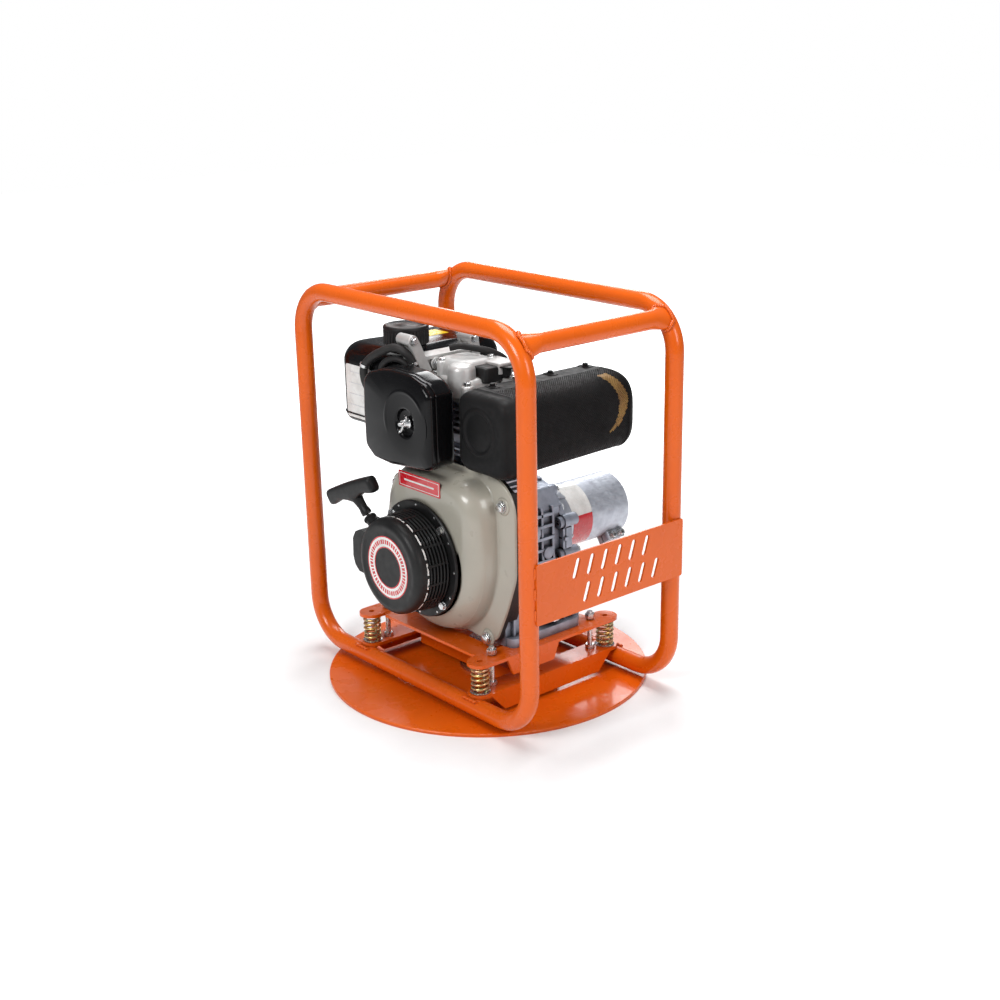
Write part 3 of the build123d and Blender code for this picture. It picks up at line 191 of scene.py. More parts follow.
def filter_foam(finish):
    cells = finish.node("ShaderNodeTexVoronoi", {"Vector": finish.where, "Scale": 620.0})
    pores = cells.outputs["Distance"]
    finish.feed("Base Color", finish.mix(pores, rgb(0.12, 0.11, 0.09), rgb(0.40, 0.37, 0.30)))
    finish.bump(pores, 0.8)


def rope_nylon(finish):
    wave = finish.node("ShaderNodeTexWave", {"Vector": finish.where, "Scale": 210.0,
                                             "Distortion": 3.0, "Detail": 2.0})
    braid = wave.outputs["Fac"]
    finish.feed("Base Color", finish.mix(braid, rgb(0.09, 0.09, 0.09), rgb(0.62, 0.60, 0.55)))
    finish.bump(braid, 0.25)


def printed_paper(light, dark):
    """A gloss-laminated blank label, with faint handling marks."""
    return layered((38, 5), (light, dark), (60, 3, 0.2, 0.34), [(180, 1, 0.03)], patches=(0.42, 0.75))


# The fifth argument of cast_aluminium, sand_cast, die_cast, warm_grey_paint and zinc_plate is painted
# shade: a darker colour laid into corners and gaps by ambient occlusion.
cast_aluminium = layered((70, 5), (rgb(0.60, 0.63, 0.69), rgb(0.44, 0.46, 0.52)), (240, 4, 0.34, 0.58),
                         [(900, 3, 0.11), (160, 2, 0.16)], (7, 0.25, 0.8, rgb(0.17, 0.165, 0.155)))
sand_cast = layered((55, 5), (rgb(0.42, 0.46, 0.54), rgb(0.28, 0.31, 0.37)), (180, 4, 0.4, 0.6),
                    [(650, 3, 0.15), (120, 2, 0.25)], (14, 0.3, 0.85, rgb(0.045, 0.05, 0.06)))
die_cast = layered((60, 5), (rgb(0.62, 0.62, 0.61), rgb(0.50, 0.50, 0.49)), (200, 4, 0.36, 0.56),
                   [(700, 3, 0.12), (140, 2, 0.2)], (6, 0.2, 0.75, rgb(0.20, 0.195, 0.18)))
cast_iron = layered((120, 4), (rgb(0.20, 0.20, 0.21), rgb(0.12, 0.115, 0.11)), (260, 3, 0.42, 0.66),
                    [(800, 3, 0.12)])
warm_grey_paint = layered((9, 4), (rgb(0.395, 0.375, 0.315), rgb(0.345, 0.328, 0.275)),
                          (40, 3, 0.26, 0.38), [(520, 1, 0.03), (45, 2, 0.22)],
                          (8, 0.3, 0.8, rgb(0.16, 0.145, 0.115)), (0.35, 0.65))
gloss_black = layered((700, 4), (rgb(0.0035, 0.0035, 0.004), rgb(0.016, 0.016, 0.016)),
                      (30, 4, 0.10, 0.225), [(300, 1, 0.018)], patches=(0.62, 0.75))
satin_black = layered((24, 4), (rgb(0.006, 0.006, 0.0065), rgb(0.013, 0.013, 0.013)),
                      (90, 3, 0.36, 0.52), [(1500, 2, 0.045)])
heatproof_black = layered((18, 5), (rgb(0.006, 0.006, 0.0064), rgb(0.012, 0.012, 0.0122)),
                          (110, 3, 0.46, 0.64), [(1100, 3, 0.07)])
black_rubber = layered((40, 4), (rgb(0.014, 0.014, 0.015), rgb(0.032, 0.031, 0.03)),
                       (160, 3, 0.48, 0.66), [(1200, 2, 0.05)])
red_plastic = layered((30, 3), (rgb(0.62, 0.012, 0.022), rgb(0.50, 0.010, 0.018)),
                      (120, 2, 0.18, 0.3), [(900, 1, 0.012)])
zinc_plate = layered((190, 3), (rgb(0.80, 0.81, 0.83), rgb(0.60, 0.61, 0.60)), (420, 2, 0.18, 0.36),
                     [(1300, 2, 0.02)], (3, 0.25, 0.8, rgb(0.14, 0.13, 0.11)), (0.35, 0.65))
bronze = layered((80, 3), (rgb(0.66, 0.43, 0.20), rgb(0.45, 0.28, 0.13)), (300, 2, 0.26, 0.42))
spring_steel = layered((60, 3), (rgb(0.24, 0.26, 0.32), rgb(0.14, 0.15, 0.18)), (300, 2, 0.25, 0.4))
heat_tinted_steel = layered((22, 3), (rgb(0.46, 0.29, 0.09), rgb(0.28, 0.16, 0.07)),
                            (200, 3, 0.3, 0.5), [(900, 2, 0.04)], patches=(0.35, 0.65))
white_paper = printed_paper(rgb(0.80, 0.80, 0.78), rgb(0.58, 0.57, 0.54))
yellow_paper = printed_paper(rgb(0.85, 0.62, 0.02), rgb(0.70, 0.48, 0.02))

# The settings that a recipe doesn't vary. The names are the record's material slots, and a few more.
FINISHES = {
    "orange_powder_coat": (orange_powder_coat, dict(coat=0.25, shine=0.3)),
    "weld_metal": (weld_metal, dict(coat=0.2, shine=0.35)),
    "cast_aluminium": (cast_aluminium, dict(metallic=0.82)),
    "sand_cast": (sand_cast, dict(metallic=0.6)),
    "die_cast": (die_cast, dict(metallic=0.45)),
    "cast_iron": (cast_iron, dict(metallic=0.7)),
    "warm_grey_paint": (warm_grey_paint, dict(coat=0.35)),
    "black_plastic": (satin_black, dict(shine=0.3)),
    "black_paint": (heatproof_black, dict(shine=0.14)),
    "gloss_black": (gloss_black, dict(shine=0.22)),
    "black_rubber": (black_rubber, dict(shine=0.3)),
    "red_plastic": (red_plastic, dict(coat=0.6)),
    "zinc_plate": (zinc_plate, dict(metallic=0.95)),
    "yellow_zinc": (yellow_zinc, dict(metallic=0.92)),
    "turned_steel": (turned_steel, dict(metallic=1.0)),
    "bronze": (bronze, dict(metallic=1.0)),
    "spring_steel": (spring_steel, dict(metallic=1.0)),
    "heat_tinted_steel": (heat_tinted_steel, dict(metallic=0.9)),
    "filter_foam": (filter_foam, dict(roughness=0.9)),
    "rope_nylon": (rope_nylon, dict(roughness=0.8)),
    "white_label": (white_paper, dict(coat=0.4)),
    "yellow_label": (yellow_paper, dict(coat=0.4)),
}
MATERIALS = {}
for label, (build, settings) in FINISHES.items():
    finish = Finish("finish_" + label, **settings)
    build(finish)
    MATERIALS[label] = finish.material

# CAD nodes whose finish differs from the record's slot name alone
CHOSEN = {"muffler_body": "black_paint", "limit_nuts": "zinc_plate", "crankcase": "sand_cast",
          "pto_cover": "sand_cast"}
for name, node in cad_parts.items():
    for index, old in enumerate(node.data.materials):
        node.data.materials[index] = MATERIALS[CHOSEN.get(name, old.name.split(".")[0])]


# ---------------------------------------------------------------- shape helpers
def place(origin, right, up):
    """A matrix with local x along right, local y along up and local z towards the viewer."""
    right = Vector(right).normalized()
    up = Vector(up)
    up = (up - right * up.dot(right)).normalized()
    out = right.cross(up)
    made = Matrix((right, up, out)).transposed().to_4x4()
    made.translation = Vector(origin)
    return made


def front(y=0.0, x=0.0, z=CRANK_Z):
    return place((x, y, z), (1, 0, 0), (0, 0, 1))


def rear(y=0.0, x=0.0, z=CRANK_Z):
    return place((x, y, z), (-1, 0, 0), (0, 0, 1))


def right_side(x, y, z):
    return place((x, y, z), (0, 1, 0), (0, 0, 1))


def top(z, x, y):
    return place((x, y, z), (1, 0, 0), (0, 1, 0))


class Shape:
    """Points and faces gathered from several forms before they become one mesh."""

    def __init__(self):
        self.points = []
        self.faces = []
        self.slots = []

    def add(self, form, where=None, slot=0):
        points, faces = form
        start = len(self.points)
        where = where or Matrix()
        self.points += [where @ Vector(p) for p in points]
        self.faces += [[start + i for i in face] for face in faces]
        self.slots += [slot] * len(faces)
        return self


def loft(rings, caps=True, loop=False):
    """Skins closed rings of equal count. loop joins the last ring to the first."""
    count = len(rings[0])
    points = [p for ring in rings for p in ring]
    faces = []
    for i in range(len(rings) if loop else len(rings) - 1):
        a = i * count
        b = ((i + 1) % len(rings)) * count
        for j in range(count):
            k = (j + 1) % count
            faces.append((a + j, a + k, b + k, b + j))
    if caps and not loop:
        faces.append(tuple(range(count))[::-1])
        faces.append(tuple(range(len(points) - count, len(points))))
    return points, faces


def circle(radius, count, height=0.0, turn=0.0):
    return [(radius * math.cos(TAU * i / count + turn), radius * math.sin(TAU * i / count + turn),
             height) for i in range(count)]


def lathe(profile, count=64, loop=False, caps=True):
    """Revolves (radius, height) pairs round local z."""
    return loft([circle(max(r, 0.001), count, h) for r, h in profile], loop=loop, caps=caps)


def rounded(corners, radius, steps=5):
    """A closed outline with each corner rounded; radius is one number or one per corner."""
    count = len(corners)
    radii = radius if isinstance(radius, (list, tuple)) else [radius] * count
    outline = []
    for i, corner in enumerate(corners):
        here = Vector(corner)
        before = Vector(corners[i - 1]) - here
        after = Vector(corners[(i + 1) % count]) - here
        bend = before.angle(after)
        reach = radii[i] / math.tan(bend / 2)
        reach = min(reach, before.length * 0.49, after.length * 0.49)
        start = here + before.normalized() * reach
        end = here + after.normalized() * reach
        for step in range(steps + 1):
            t = step / steps
            outline.append(tuple((1 - t) ** 2 * start + 2 * t * (1 - t) * here + t * t * end))
    return outline


def box_outline(width, height, radius, steps=5):
    w, h = width / 2, height / 2
    return rounded([(-w, -h), (w, -h), (w, h), (-w, h)], radius, steps)


def slab(outline, low, high):
    return loft([[(x, y, low) for x, y in outline], [(x, y, high) for x, y in outline]])


def reach_of(outline, count, centre=(0.0, 0.0)):
    """The distance from centre to a closed outline, in count directions."""
    found = []
    for i in range(count):
        angle = TAU * i / count
        ux, uy = math.cos(angle), math.sin(angle)
        best = 0.0
        for j, (ax, ay) in enumerate(outline):
            bx, by = outline[(j + 1) % len(outline)]
            ax, ay, bx, by = ax - centre[0], ay - centre[1], bx - centre[0], by - centre[1]
            ex, ey = bx - ax, by - ay
            cross = ux * ey - uy * ex
            if abs(cross) < 1e-9:
                continue
            distance = (ax * ey - ay * ex) / cross
            along = (ax * uy - ay * ux) / cross
            if distance > 0 and -1e-6 <= along <= 1 + 1e-6:
                best = max(best, distance)
        found.append(best)
    return found


def soften(values, passes):
    """Averages each value with its neighbours round a closed ring."""
    for _ in range(passes):
        values = [(values[i - 1] + 2 * values[i] + values[(i + 1) % len(values)]) / 4
                  for i in range(len(values))]
    return values


def ring_at(reach, height, centre=(0.0, 0.0)):
    count = len(reach)
    return [(centre[0] + r * math.cos(TAU * i / count), centre[1] + r * math.sin(TAU * i / count),
             height) for i, r in enumerate(reach)]


def curve_through(points, steps=8):
    """A smooth path through points (Catmull-Rom)."""
    knots = [Vector(p) for p in points]
    knots = [knots[0] * 2 - knots[1]] + knots + [knots[-1] * 2 - knots[-2]]
    path = []
    for i in range(1, len(knots) - 2):
        a, b, c, d = knots[i - 1:i + 3]
        for step in range(steps):
            t = step / steps
            path.append(0.5 * (2 * b + (c - a) * t + (2 * a - 5 * b + 4 * c - d) * t * t
                               + (3 * b - a - 3 * c + d) * t ** 3))
    path.append(knots[-2])
    return path


def sweep(path, radius, count=14, closed=False, caps=True):
    """A tube along a path; radius is a number or a function of the share of the way along."""
    path = [Vector(p) for p in path]
    total = len(path)
    rings = []
    side = None
    for i, here in enumerate(path):
        ahead = path[(i + 1) % total] if closed or i + 1 < total else here
        behind = path[i - 1] if closed or i > 0 else here
        tangent = (ahead - behind).normalized()
        if side is None:
            side = tangent.orthogonal().normalized()
        side = (side - tangent * side.dot(tangent)).normalized()
        other = tangent.cross(side)
        size = radius(i / max(total - 1, 1)) if callable(radius) else radius
        rings.append([tuple(here + side * size * math.cos(TAU * j / count)
                            + other * size * math.sin(TAU * j / count)) for j in range(count)])
    return loft(rings, loop=closed, caps=caps)


def hexagon(across_flats, low, high, turn=0.0):
    radius = across_flats / math.sqrt(3)
    return loft([circle(radius * 0.93, 6, low, turn), circle(radius, 6, low + 0.6, turn),
                 circle(radius, 6, high - 0.8, turn), circle(radius * 0.88, 6, high, turn)])


def piece(name, shape, body, materials, bevel=0.0, segments=2, smooth=38.0, thickness=0.0,
          stands_for=(), blend=None):
    """Turns a Shape in millimetres into a Blender object that rides on a CAD body, or with blend stays
    fixed where it is.
    """
    mesh = bpy.data.meshes.new(name)
    mesh.from_pydata([Vector(p) * MM for p in shape.points], [], shape.faces)
    for material in materials:
        mesh.materials.append(MATERIALS[material])
    for face, slot_index in zip(mesh.polygons, shape.slots):
        face.material_index = slot_index
    work = bmesh.new()
    work.from_mesh(mesh)
    bmesh.ops.remove_doubles(work, verts=work.verts, dist=0.00002)
    bmesh.ops.recalc_face_normals(work, faces=work.faces)
    for edge in work.edges:
        edge.smooth = len(edge.link_faces) != 2 or edge.calc_face_angle() < math.radians(smooth)
    work.to_mesh(mesh)
    work.free()
    mesh.shade_smooth()
    obj = bpy.data.objects.new(name, mesh)
    bpy.context.scene.collection.objects.link(obj)
    if thickness:
        solid = obj.modifiers.new("sheet", "SOLIDIFY")
        solid.thickness = thickness * MM
    if bevel:
        edges = obj.modifiers.new("edges", "BEVEL")
        edges.width = bevel * MM
        edges.segments = segments
        edges.limit_method = "ANGLE"
        edges.angle_limit = math.radians(smooth)
        edges.harden_normals = True
    if blend:
        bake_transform(obj)
    else:
        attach(obj, body)
    if stands_for:
        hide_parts(*stands_for)


# ---------------------------------------------------------------- roll frame details
HOOP_Y = 139.5                        # centre planes of the hoops
HOOP_X, HOOP_Z = 254.0, 582.5         # their side legs and top run, on the tube's centre line
TUBE_R = 13.45
BEND_R = 65.0
TIE_X, TIE_Z = 239.0, 566.0
WELD_PITCH = 2.6


def weld(path, width, closed=False):
    """A laid bead: its radius rises and falls as the torch moved along."""
    length = sum((Vector(a) - Vector(b)).length for a, b in zip(path, path[1:]))
    beats = max(round(length / WELD_PITCH), 3)

    def size(share):
        return width * (1 + 0.16 * math.sin(TAU * beats * share))
    return sweep(path, size, count=8, closed=closed)


def tie_end(side, end, angle, flare=1.0, grow=0.0):
    """A point round a top tie; its ends are pressed flat and saddle over the hoop's bend."""
    lean = Vector((side * (TIE_X - HOOP_X + BEND_R), TIE_Z - HOOP_Z + BEND_R))
    excess = lean.length - BEND_R
    lean.normalize()
    wide = (TUBE_R + 5.0 * flare + grow) * math.cos(angle)
    thick = (TUBE_R - 3.6 * flare + grow) * math.sin(angle)
    depth = math.sqrt(max(TUBE_R ** 2 - (thick + excess) ** 2, 9.0))
    return Vector((side * TIE_X - lean.y * wide + lean.x * thick, end * (HOOP_Y - depth),
                   TIE_Z + lean.x * wide + lean.y * thick))


def top_tie_tubes():
    """The two ties that join the hoops at their upper corners."""
    shape = Shape()
    straight = 101.0
    for side in (1, -1):
        rings = []
        for end in (-1, 1):
            half = []
            for i in range(13):
                t = i / 12
                flare = t * t * (3 - 2 * t)
                ring = []
                for j in range(48):
                    spot = tie_end(side, end, TAU * j / 48, flare)
                    spot.y = end * (straight + (abs(spot.y) - straight) * t)
                    ring.append(spot)
                half.append(ring)
            rings += half[::-1] if end < 0 else half
        shape.add(loft(rings))
    piece("top_tie_tubes", shape, "roll_frame", ["orange_powder_coat"], smooth=60,
          stands_for=["top_ties"])


def frame_welds():
    """Beads where the top ties, lower rails and side panel meet the two hoops."""
    shape = Shape()
    for side in (1, -1):
        for end in (1, -1):
            path = [tie_end(side, end, TAU * i / 160, grow=0.8) for i in range(160)]
            shape.add(weld(path, 2.7, closed=True))
            for offset in (-7.5, 8.2):
                y = end * (HOOP_Y + offset)
                path = [(side * SPRING_X - 16 + 0.8 * i, y + 0.5 * math.sin(i * 0.7), 35.2)
                        for i in range(41)]
                shape.add(weld(path, 2.3))
    for y in (-140.0, 146.5):
        for z in (196, 226, 256):
            path = [(267.6, y, z + 0.8 * i) for i in range(20)]
            shape.add(weld(path, 1.9))
    piece("frame_weld_beads", shape, "roll_frame", ["weld_metal"], smooth=60)


SPRING_X, SPRING_Y = 131, 126


def isolator_springs():
    """Four coil springs with closed ends between flat seats."""
    low, high = 41.0, 83.6
    wire, coil_r = 2.15, 11.8
    seat = 1.4
    shape = Shape()
    start, end = low + seat + wire, high - seat - wire
    turns, steps = 5.6, 24
    closed = 2 * wire * 1.02
    pitch = (end - start - 2 * closed) / (turns - 2)
    for x in (SPRING_X, -SPRING_X):
        for y in (SPRING_Y, -SPRING_Y):
            path = []
            for i in range(int(turns * steps) + 1):
                turn = i / steps
                if turn < 1:
                    z = start + closed * turn
                elif turn < turns - 1:
                    z = start + closed + pitch * (turn - 1)
                else:
                    z = end - closed * (turns - turn)
                path.append((x + coil_r * math.cos(TAU * turn), y + coil_r * math.sin(TAU * turn), z))
            shape.add(sweep(path, wire, count=12))
            for base in (low, high - seat):
                ring = [(5.0, base), (14.6, base), (15.2, base + seat / 2), (14.6, base + seat),
                        (5.0, base + seat)]
                shape.add(lathe(ring, 36, loop=True), Matrix.Translation((x, y, 0)), 1)
    piece("isolator_spring_coils", shape, "roll_frame", ["yellow_zinc", "zinc_plate"], smooth=50,
          stands_for=["isolator_springs"],
          blend=("roll_frame", "engine", (0, 0, low * MM), (0, 0, high * MM)))


# ---------------------------------------------------------------- cooling shroud
SHROUD_FRONT_Y = 123.0         # distances along -Y, from the crank's centre plane
SHROUD_FLANGE_Y = 80.0
SHROUD_STEPS = 180


def fan_shroud():
    """One smooth pressed volute: flat round the recoil, then a deep bowl down to its flange."""
    crown = rounded([(-104, 262), (-88, 312), (-58, 343), (92, 343), (112, 328), (121, 304),
                     (123, 210), (108, 160), (0, 130)], 22)
    flange = rounded([(-110, 262), (-96, 318), (-62, 352), (122, 352), (148, 335), (159, 311),
                      (158, 207), (139, 155), (112, 96), (60, 98), (0, 130)], 12)
    centre = (0.0, CRANK_Z)
    bowl = soften([max(118.0, r) for r in reach_of(crown, SHROUD_STEPS, centre)], 10)
    lip = soften([max(122.0, r) for r in reach_of(flange, SHROUD_STEPS, centre)], 3)
    lip = [max(r, b + 3.5) for r, b in zip(lip, bowl)]
    lug = Vector((-106, 296 - CRANK_Z))
    lug_r, lug_angle = lug.length, math.atan2(lug.y, lug.x) % TAU
    round_off = []
    for i in range(SHROUD_STEPS):
        angle = TAU * i / SHROUD_STEPS
        away = abs((angle - lug_angle + math.pi) % TAU - math.pi)
        if away < 0.115:
            lip[i] = max(lip[i], lug_r + math.sqrt(max(0, 14 ** 2 - (away * lug_r) ** 2)))
        up = max(0.0, math.sin(angle)) ** 2
        round_off.append(44 - 26 * up)
    mouth = [(73.5, 119.5), (73.5, 122.4), (74.2, 123.0), (90, 123.0)]
    loops = [ring_at([r] * SHROUD_STEPS, h) for r, h in mouth]
    inner = [b - w for b, w in zip(bowl, round_off)]
    loops.append(ring_at([(r + 90) / 2 for r in inner], 123.0))
    depth = SHROUD_FRONT_Y - SHROUD_FLANGE_Y - 3
    for step in range(13):
        angle = math.pi / 2 * step / 12
        rise, run = math.cos(angle), math.sin(angle)
        loops.append(ring_at([a + (b - a) * run for a, b in zip(inner, bowl)],
                             SHROUD_FLANGE_Y + 3 + depth * rise))
    loops.append(ring_at([b + 0.9 for b in bowl], SHROUD_FLANGE_Y + 0.9))
    loops.append(ring_at([b + 3.0 for b in bowl], SHROUD_FLANGE_Y))
    loops.append(ring_at([r - 1.0 for r in lip], SHROUD_FLANGE_Y))
    loops.append(ring_at(lip, SHROUD_FLANGE_Y - 1.0))
    loops.append(ring_at(lip, SHROUD_FLANGE_Y - 4.4))
    loops.append(ring_at([b - 4 for b in bowl], SHROUD_FLANGE_Y - 4.4))
    loops.append(ring_at([b - 4 for b in bowl], 100))
    loops.append(ring_at([max(r - 4, 82) for r in inner], 119.5))
    shape = Shape().add(loft(loops, loop=True), front())
    piece("fan_shroud_shell", shape, "engine", ["warm_grey_paint"], smooth=50,
          stands_for=["fan_shroud"])


def shroud_trim():
    """A rubber edge seal, bosses and heads for the shroud's screws, and a blank badge."""
    seal = Shape()
    strip = [(104, 100), (112, 100), (138, 156), (156.5, 208), (156.5, 310), (147, 333), (136, 333),
             (144, 308), (144, 210), (126, 160)]
    strip = [(x, z - CRANK_Z) for x, z in strip]
    seal.add(slab(rounded(strip, [2, 2, 12, 16, 12, 3, 3, 8, 24, 16], 6), 65.3, 75.6), front())
    deep = [(124, 130), (127, 130), (138, 156), (156, 208), (156, 310), (147, 331), (140, 331),
            (149, 308), (149, 210), (131, 160)]
    deep = [(x, z - CRANK_Z) for x, z in deep]
    seal.add(slab(rounded(deep, [1, 1, 12, 16, 12, 2, 2, 8, 14, 10], 6), 50, 66), front())
    piece("shroud_edge_seal", seal, "engine", ["black_rubber"], bevel=0.8, smooth=50)
    bosses = Shape()
    for x, z in ((136, 313), (97, 101), (-106, 296)):
        where = front(-SHROUD_FLANGE_Y, x, z)
        profile = [(7.0, -0.4), (13.4, -0.4), (12.6, 1.6), (11.0, 2.6), (7.0, 2.6)]
        bosses.add(lathe(profile, 40, loop=True), where)
        bosses.add(lathe([(5.4, 2.6), (9.0, 2.6), (9.0, 4.2), (5.4, 4.2)], 32, loop=True), where, 1)
        bosses.add(hexagon(13, 4.2, 9.6, 0.35), where, 1)
    piece("shroud_screw_bosses", bosses, "engine", ["warm_grey_paint", "zinc_plate"], bevel=0.4,
          segments=1, smooth=50)
    badge = Shape()
    where = front(-SHROUD_FRONT_Y, 0, 325.5)
    badge.add(slab(box_outline(97, 24, 2.5), 0, 0.9), where, 0)
    outer, inner = box_outline(92, 19, 1.6), box_outline(90, 17, 1.0)
    frame_rings = [[(x, y, 0.85) for x, y in outer], [(x, y, 1.15) for x, y in outer],
                   [(x, y, 1.15) for x, y in inner], [(x, y, 0.85) for x, y in inner]]
    badge.add(loft(frame_rings, loop=True), where, 1)
    badge.add(slab(box_outline(70, 2.6, 1.2), 0.85, 1.15), where, 1)
    piece("shroud_badge", badge, "engine", ["red_plastic", "white_label"], bevel=0.15, segments=1)


# ---------------------------------------------------------------- recoil starter
GUIDE_ORIGIN = Vector((-58, -156, 248))
GUIDE_DIRECTION = Vector((-0.86, 0, 0.51)).normalized()
GUIDE_LENGTH = 28.0
GRIP_CENTRE = Vector((-112, -164, 300))
GRIP_DIRECTION = Vector((0.925, 0, 0.380)).normalized()


def recoil_starter():
    """Black cap over stacked cooling rings on a flange, with a printed ring on the cap's face."""
    shape = Shape()
    where = front()
    shape.add(lathe([(73, 127), (88.5, 127), (88.5, 129.6), (87.2, 131), (76, 131), (73, 130)],
                    96, loop=True), where)
    for i in range(6):
        low = 133.2 + 5.6 * i
        outer = 75.6 - 0.55 * i
        ring = [(66.5, low), (outer, low), (outer + 0.3, low + 1.2), (outer - 0.6, low + 2.6),
                (66.5, low + 2.6)]
        shape.add(lathe(ring, 96, loop=True), where)
    for i in range(16):
        spoke = slab([(65.5, -1.6), (74.0, -1.6), (74.0, 1.6), (65.5, 1.6)], 129, 168)
        shape.add(spoke, where @ Matrix.Rotation(TAU * (i + 0.5) / 16, 4, "Z"))
    shape.add(lathe([(63, 128), (66.6, 128), (66.6, 168), (63, 168)], 96, loop=True), where)
    cap = [(63, 165), (71.2, 165), (72.2, 166), (72.4, 175), (71.4, 180.2), (68.4, 184.2), (64, 186.4),
           (60, 186.9), (57.5, 186.2), (52, 186.0), (20, 186.0), (0, 186.0), (0, 182.5), (60, 182.5),
           (66.5, 178), (66.5, 168)]
    shape.add(lathe(cap, 96), where)
    guide = place(GUIDE_ORIGIN, (0, 1, 0), GUIDE_DIRECTION.cross(Vector((0, 1, 0))))
    boss = [(3.6, -14), (12.5, -14), (11, 4), (9.0, 16), (8.6, 23), (10.2, 24.5), (10.2, 27),
            (8.6, 28), (4.6, 28), (3.6, 26.5)]
    shape.add(lathe(boss, 32, loop=True), guide)
    arm = [(GUIDE_ORIGIN + GUIDE_DIRECTION * d + Vector((0, y, 0))) for d, y in
           ((-8, 6), (4, 7), (16, 8), (24, 5))]
    shape.add(sweep(curve_through(arm), lambda t: 9.0 - 4.0 * t, count=16))
    chute = rounded([(-60, 244), (-86, 246), (-98, 240), (-105, 228), (-106, 200), (-102, 187),
                     (-92, 178), (-60, 178)], 7)
    shape.add(slab([(x, z - CRANK_Z) for x, z in chute], 134, 172), where)
    piece("recoil_starter_housing", shape, "engine", ["black_plastic"], smooth=42,
          stands_for=["recoil_housing"])

    marks = Shape()
    for i in range(12):
        turn = TAU * i / 12
        spot = where @ Matrix.Translation((83.6 * math.cos(turn), 83.6 * math.sin(turn), 130.6))
        marks.add(lathe([(0, 0), (1.9, 0), (1.9, 0.5), (1.4, 0.8), (0, 0.8)], 14), spot)
    piece("recoil_flange_rivets", marks, "engine", ["zinc_plate"])

    # Pale dashes round the cap's rim: painted highlights standing in for light caught on the edges of the
    # rim's slots.
    rim_highlights = Shape()
    for i in range(20):
        arc = [TAU * (i + 0.12 + 0.76 * s / 6) / 20 for s in range(7)]
        rings = [[((72.1 + dr) * math.cos(a), (72.1 + dr) * math.sin(a), h) for a in arc]
                 for dr, h in ((0, 166.8), (0.4, 166.8), (0.4, 169.2), (0, 169.2))]
        rim_highlights.add(loft([[ring[s] for ring in rings] for s in range(7)]), where)
    piece("recoil_rim_painted_highlights", rim_highlights, "engine", ["white_label"], smooth=60)

    label = Shape()

    def band(low, high, height, slot):
        label.add(lathe([(low, 185.8), (high, 185.8), (high, height), (low, height)], 96, loop=True),
                  where, slot)
    band(45.6, 47.4, 186.45, 0)
    band(31.6, 45.6, 186.35, 1)
    band(29.8, 31.6, 186.45, 0)
    for i in range(48):
        width = 0.66 + 0.18 * math.sin(i * 2.4)
        arc = [TAU * (i + 0.5 + width * (s / 3 - 0.5)) / 48 for s in range(4)]
        rows = [[(r * math.cos(a), r * math.sin(a), h) for a in arc]
                for r, h in ((35.4, 186.2), (42.0, 186.2), (42.0, 186.5), (35.4, 186.5))]
        label.add(loft([[row[s] for row in rows] for s in range(4)]), where, 0)
    piece("recoil_ring_label", label, "engine", ["red_plastic", "white_label"], smooth=60)


def starter_handle():
    """A moulded T-grip with finger hollows, and the rope that feeds it."""
    tip = GUIDE_ORIGIN + GUIDE_DIRECTION * GUIDE_LENGTH
    stem_down = (tip - GRIP_CENTRE).normalized()
    up = -(stem_down - GRIP_DIRECTION * stem_down.dot(GRIP_DIRECTION)).normalized()
    where = Matrix((GRIP_DIRECTION, up, GRIP_DIRECTION.cross(up))).transposed().to_4x4()
    where.translation = GRIP_CENTRE
    rings = []
    stations = 49
    for i in range(stations):
        along = -1 + 2 * i / (stations - 1)
        ease = math.sqrt(max(0.0, 1 - max(0.0, (abs(along) - 0.93) / 0.07) ** 2)) * 0.35 + 0.65
        crown = (13.5 - 2.2 * abs(along) ** 2) * ease
        belly = (13.5 - 4.0 * math.exp(-((abs(along) - 0.52) / 0.24) ** 2)
                 + 5 * math.exp(-(along / 0.16) ** 2)) * ease
        half = (10.2 - 1.0 * abs(along)) * ease
        ring = []
        for j in range(28):
            angle = TAU * j / 28
            cx, cy = math.cos(angle), math.sin(angle)
            power = 0.62
            sx = math.copysign(abs(cx) ** power, cx) * half
            sy = math.copysign(abs(cy) ** power, cy) * (crown if cy > 0 else belly)
            ring.append((along * 60, sy, sx))
        rings.append(ring)
    shape = Shape().add(loft(rings), where)
    drop = (tip - GRIP_CENTRE).length
    stem = []
    for share, radius in ((0.16, 10.0), (0.34, 8.6), (0.50, 7.2), (0.66, 6.6), (0.74, 7.6),
                          (0.84, 8.0), (0.88, 7.4), (0.90, 2.4)):
        stem.append((radius, share * drop))
    axis = stem_down.to_track_quat("Z", "Y").to_matrix().to_4x4()
    shape.add(lathe(stem, 28), Matrix.Translation(GRIP_CENTRE) @ axis)
    piece("starter_grip", shape, "pull_handle", ["black_plastic"], smooth=55,
          stands_for=["starter_handle"])

    begin = GUIDE_ORIGIN + GUIDE_DIRECTION * (GUIDE_LENGTH - 9)
    finish_point = GRIP_CENTRE + stem_down * (drop * 0.86)
    path = []
    middle = tip + GUIDE_DIRECTION * 1.5
    for i in range(61):
        t = i / 60
        path.append((1 - t) ** 2 * begin + 2 * t * (1 - t) * middle + t * t * finish_point)
    rope = Shape().add(sweep(path, lambda t: 2.1 + 0.14 * math.sin(TAU * 22 * t), count=12))
    piece("starter_cord", rope, "engine", ["rope_nylon"], smooth=70, stands_for=["starter_rope"],
          blend=("engine", "pull_handle", tuple(tip * MM), tuple(finish_point * MM)))


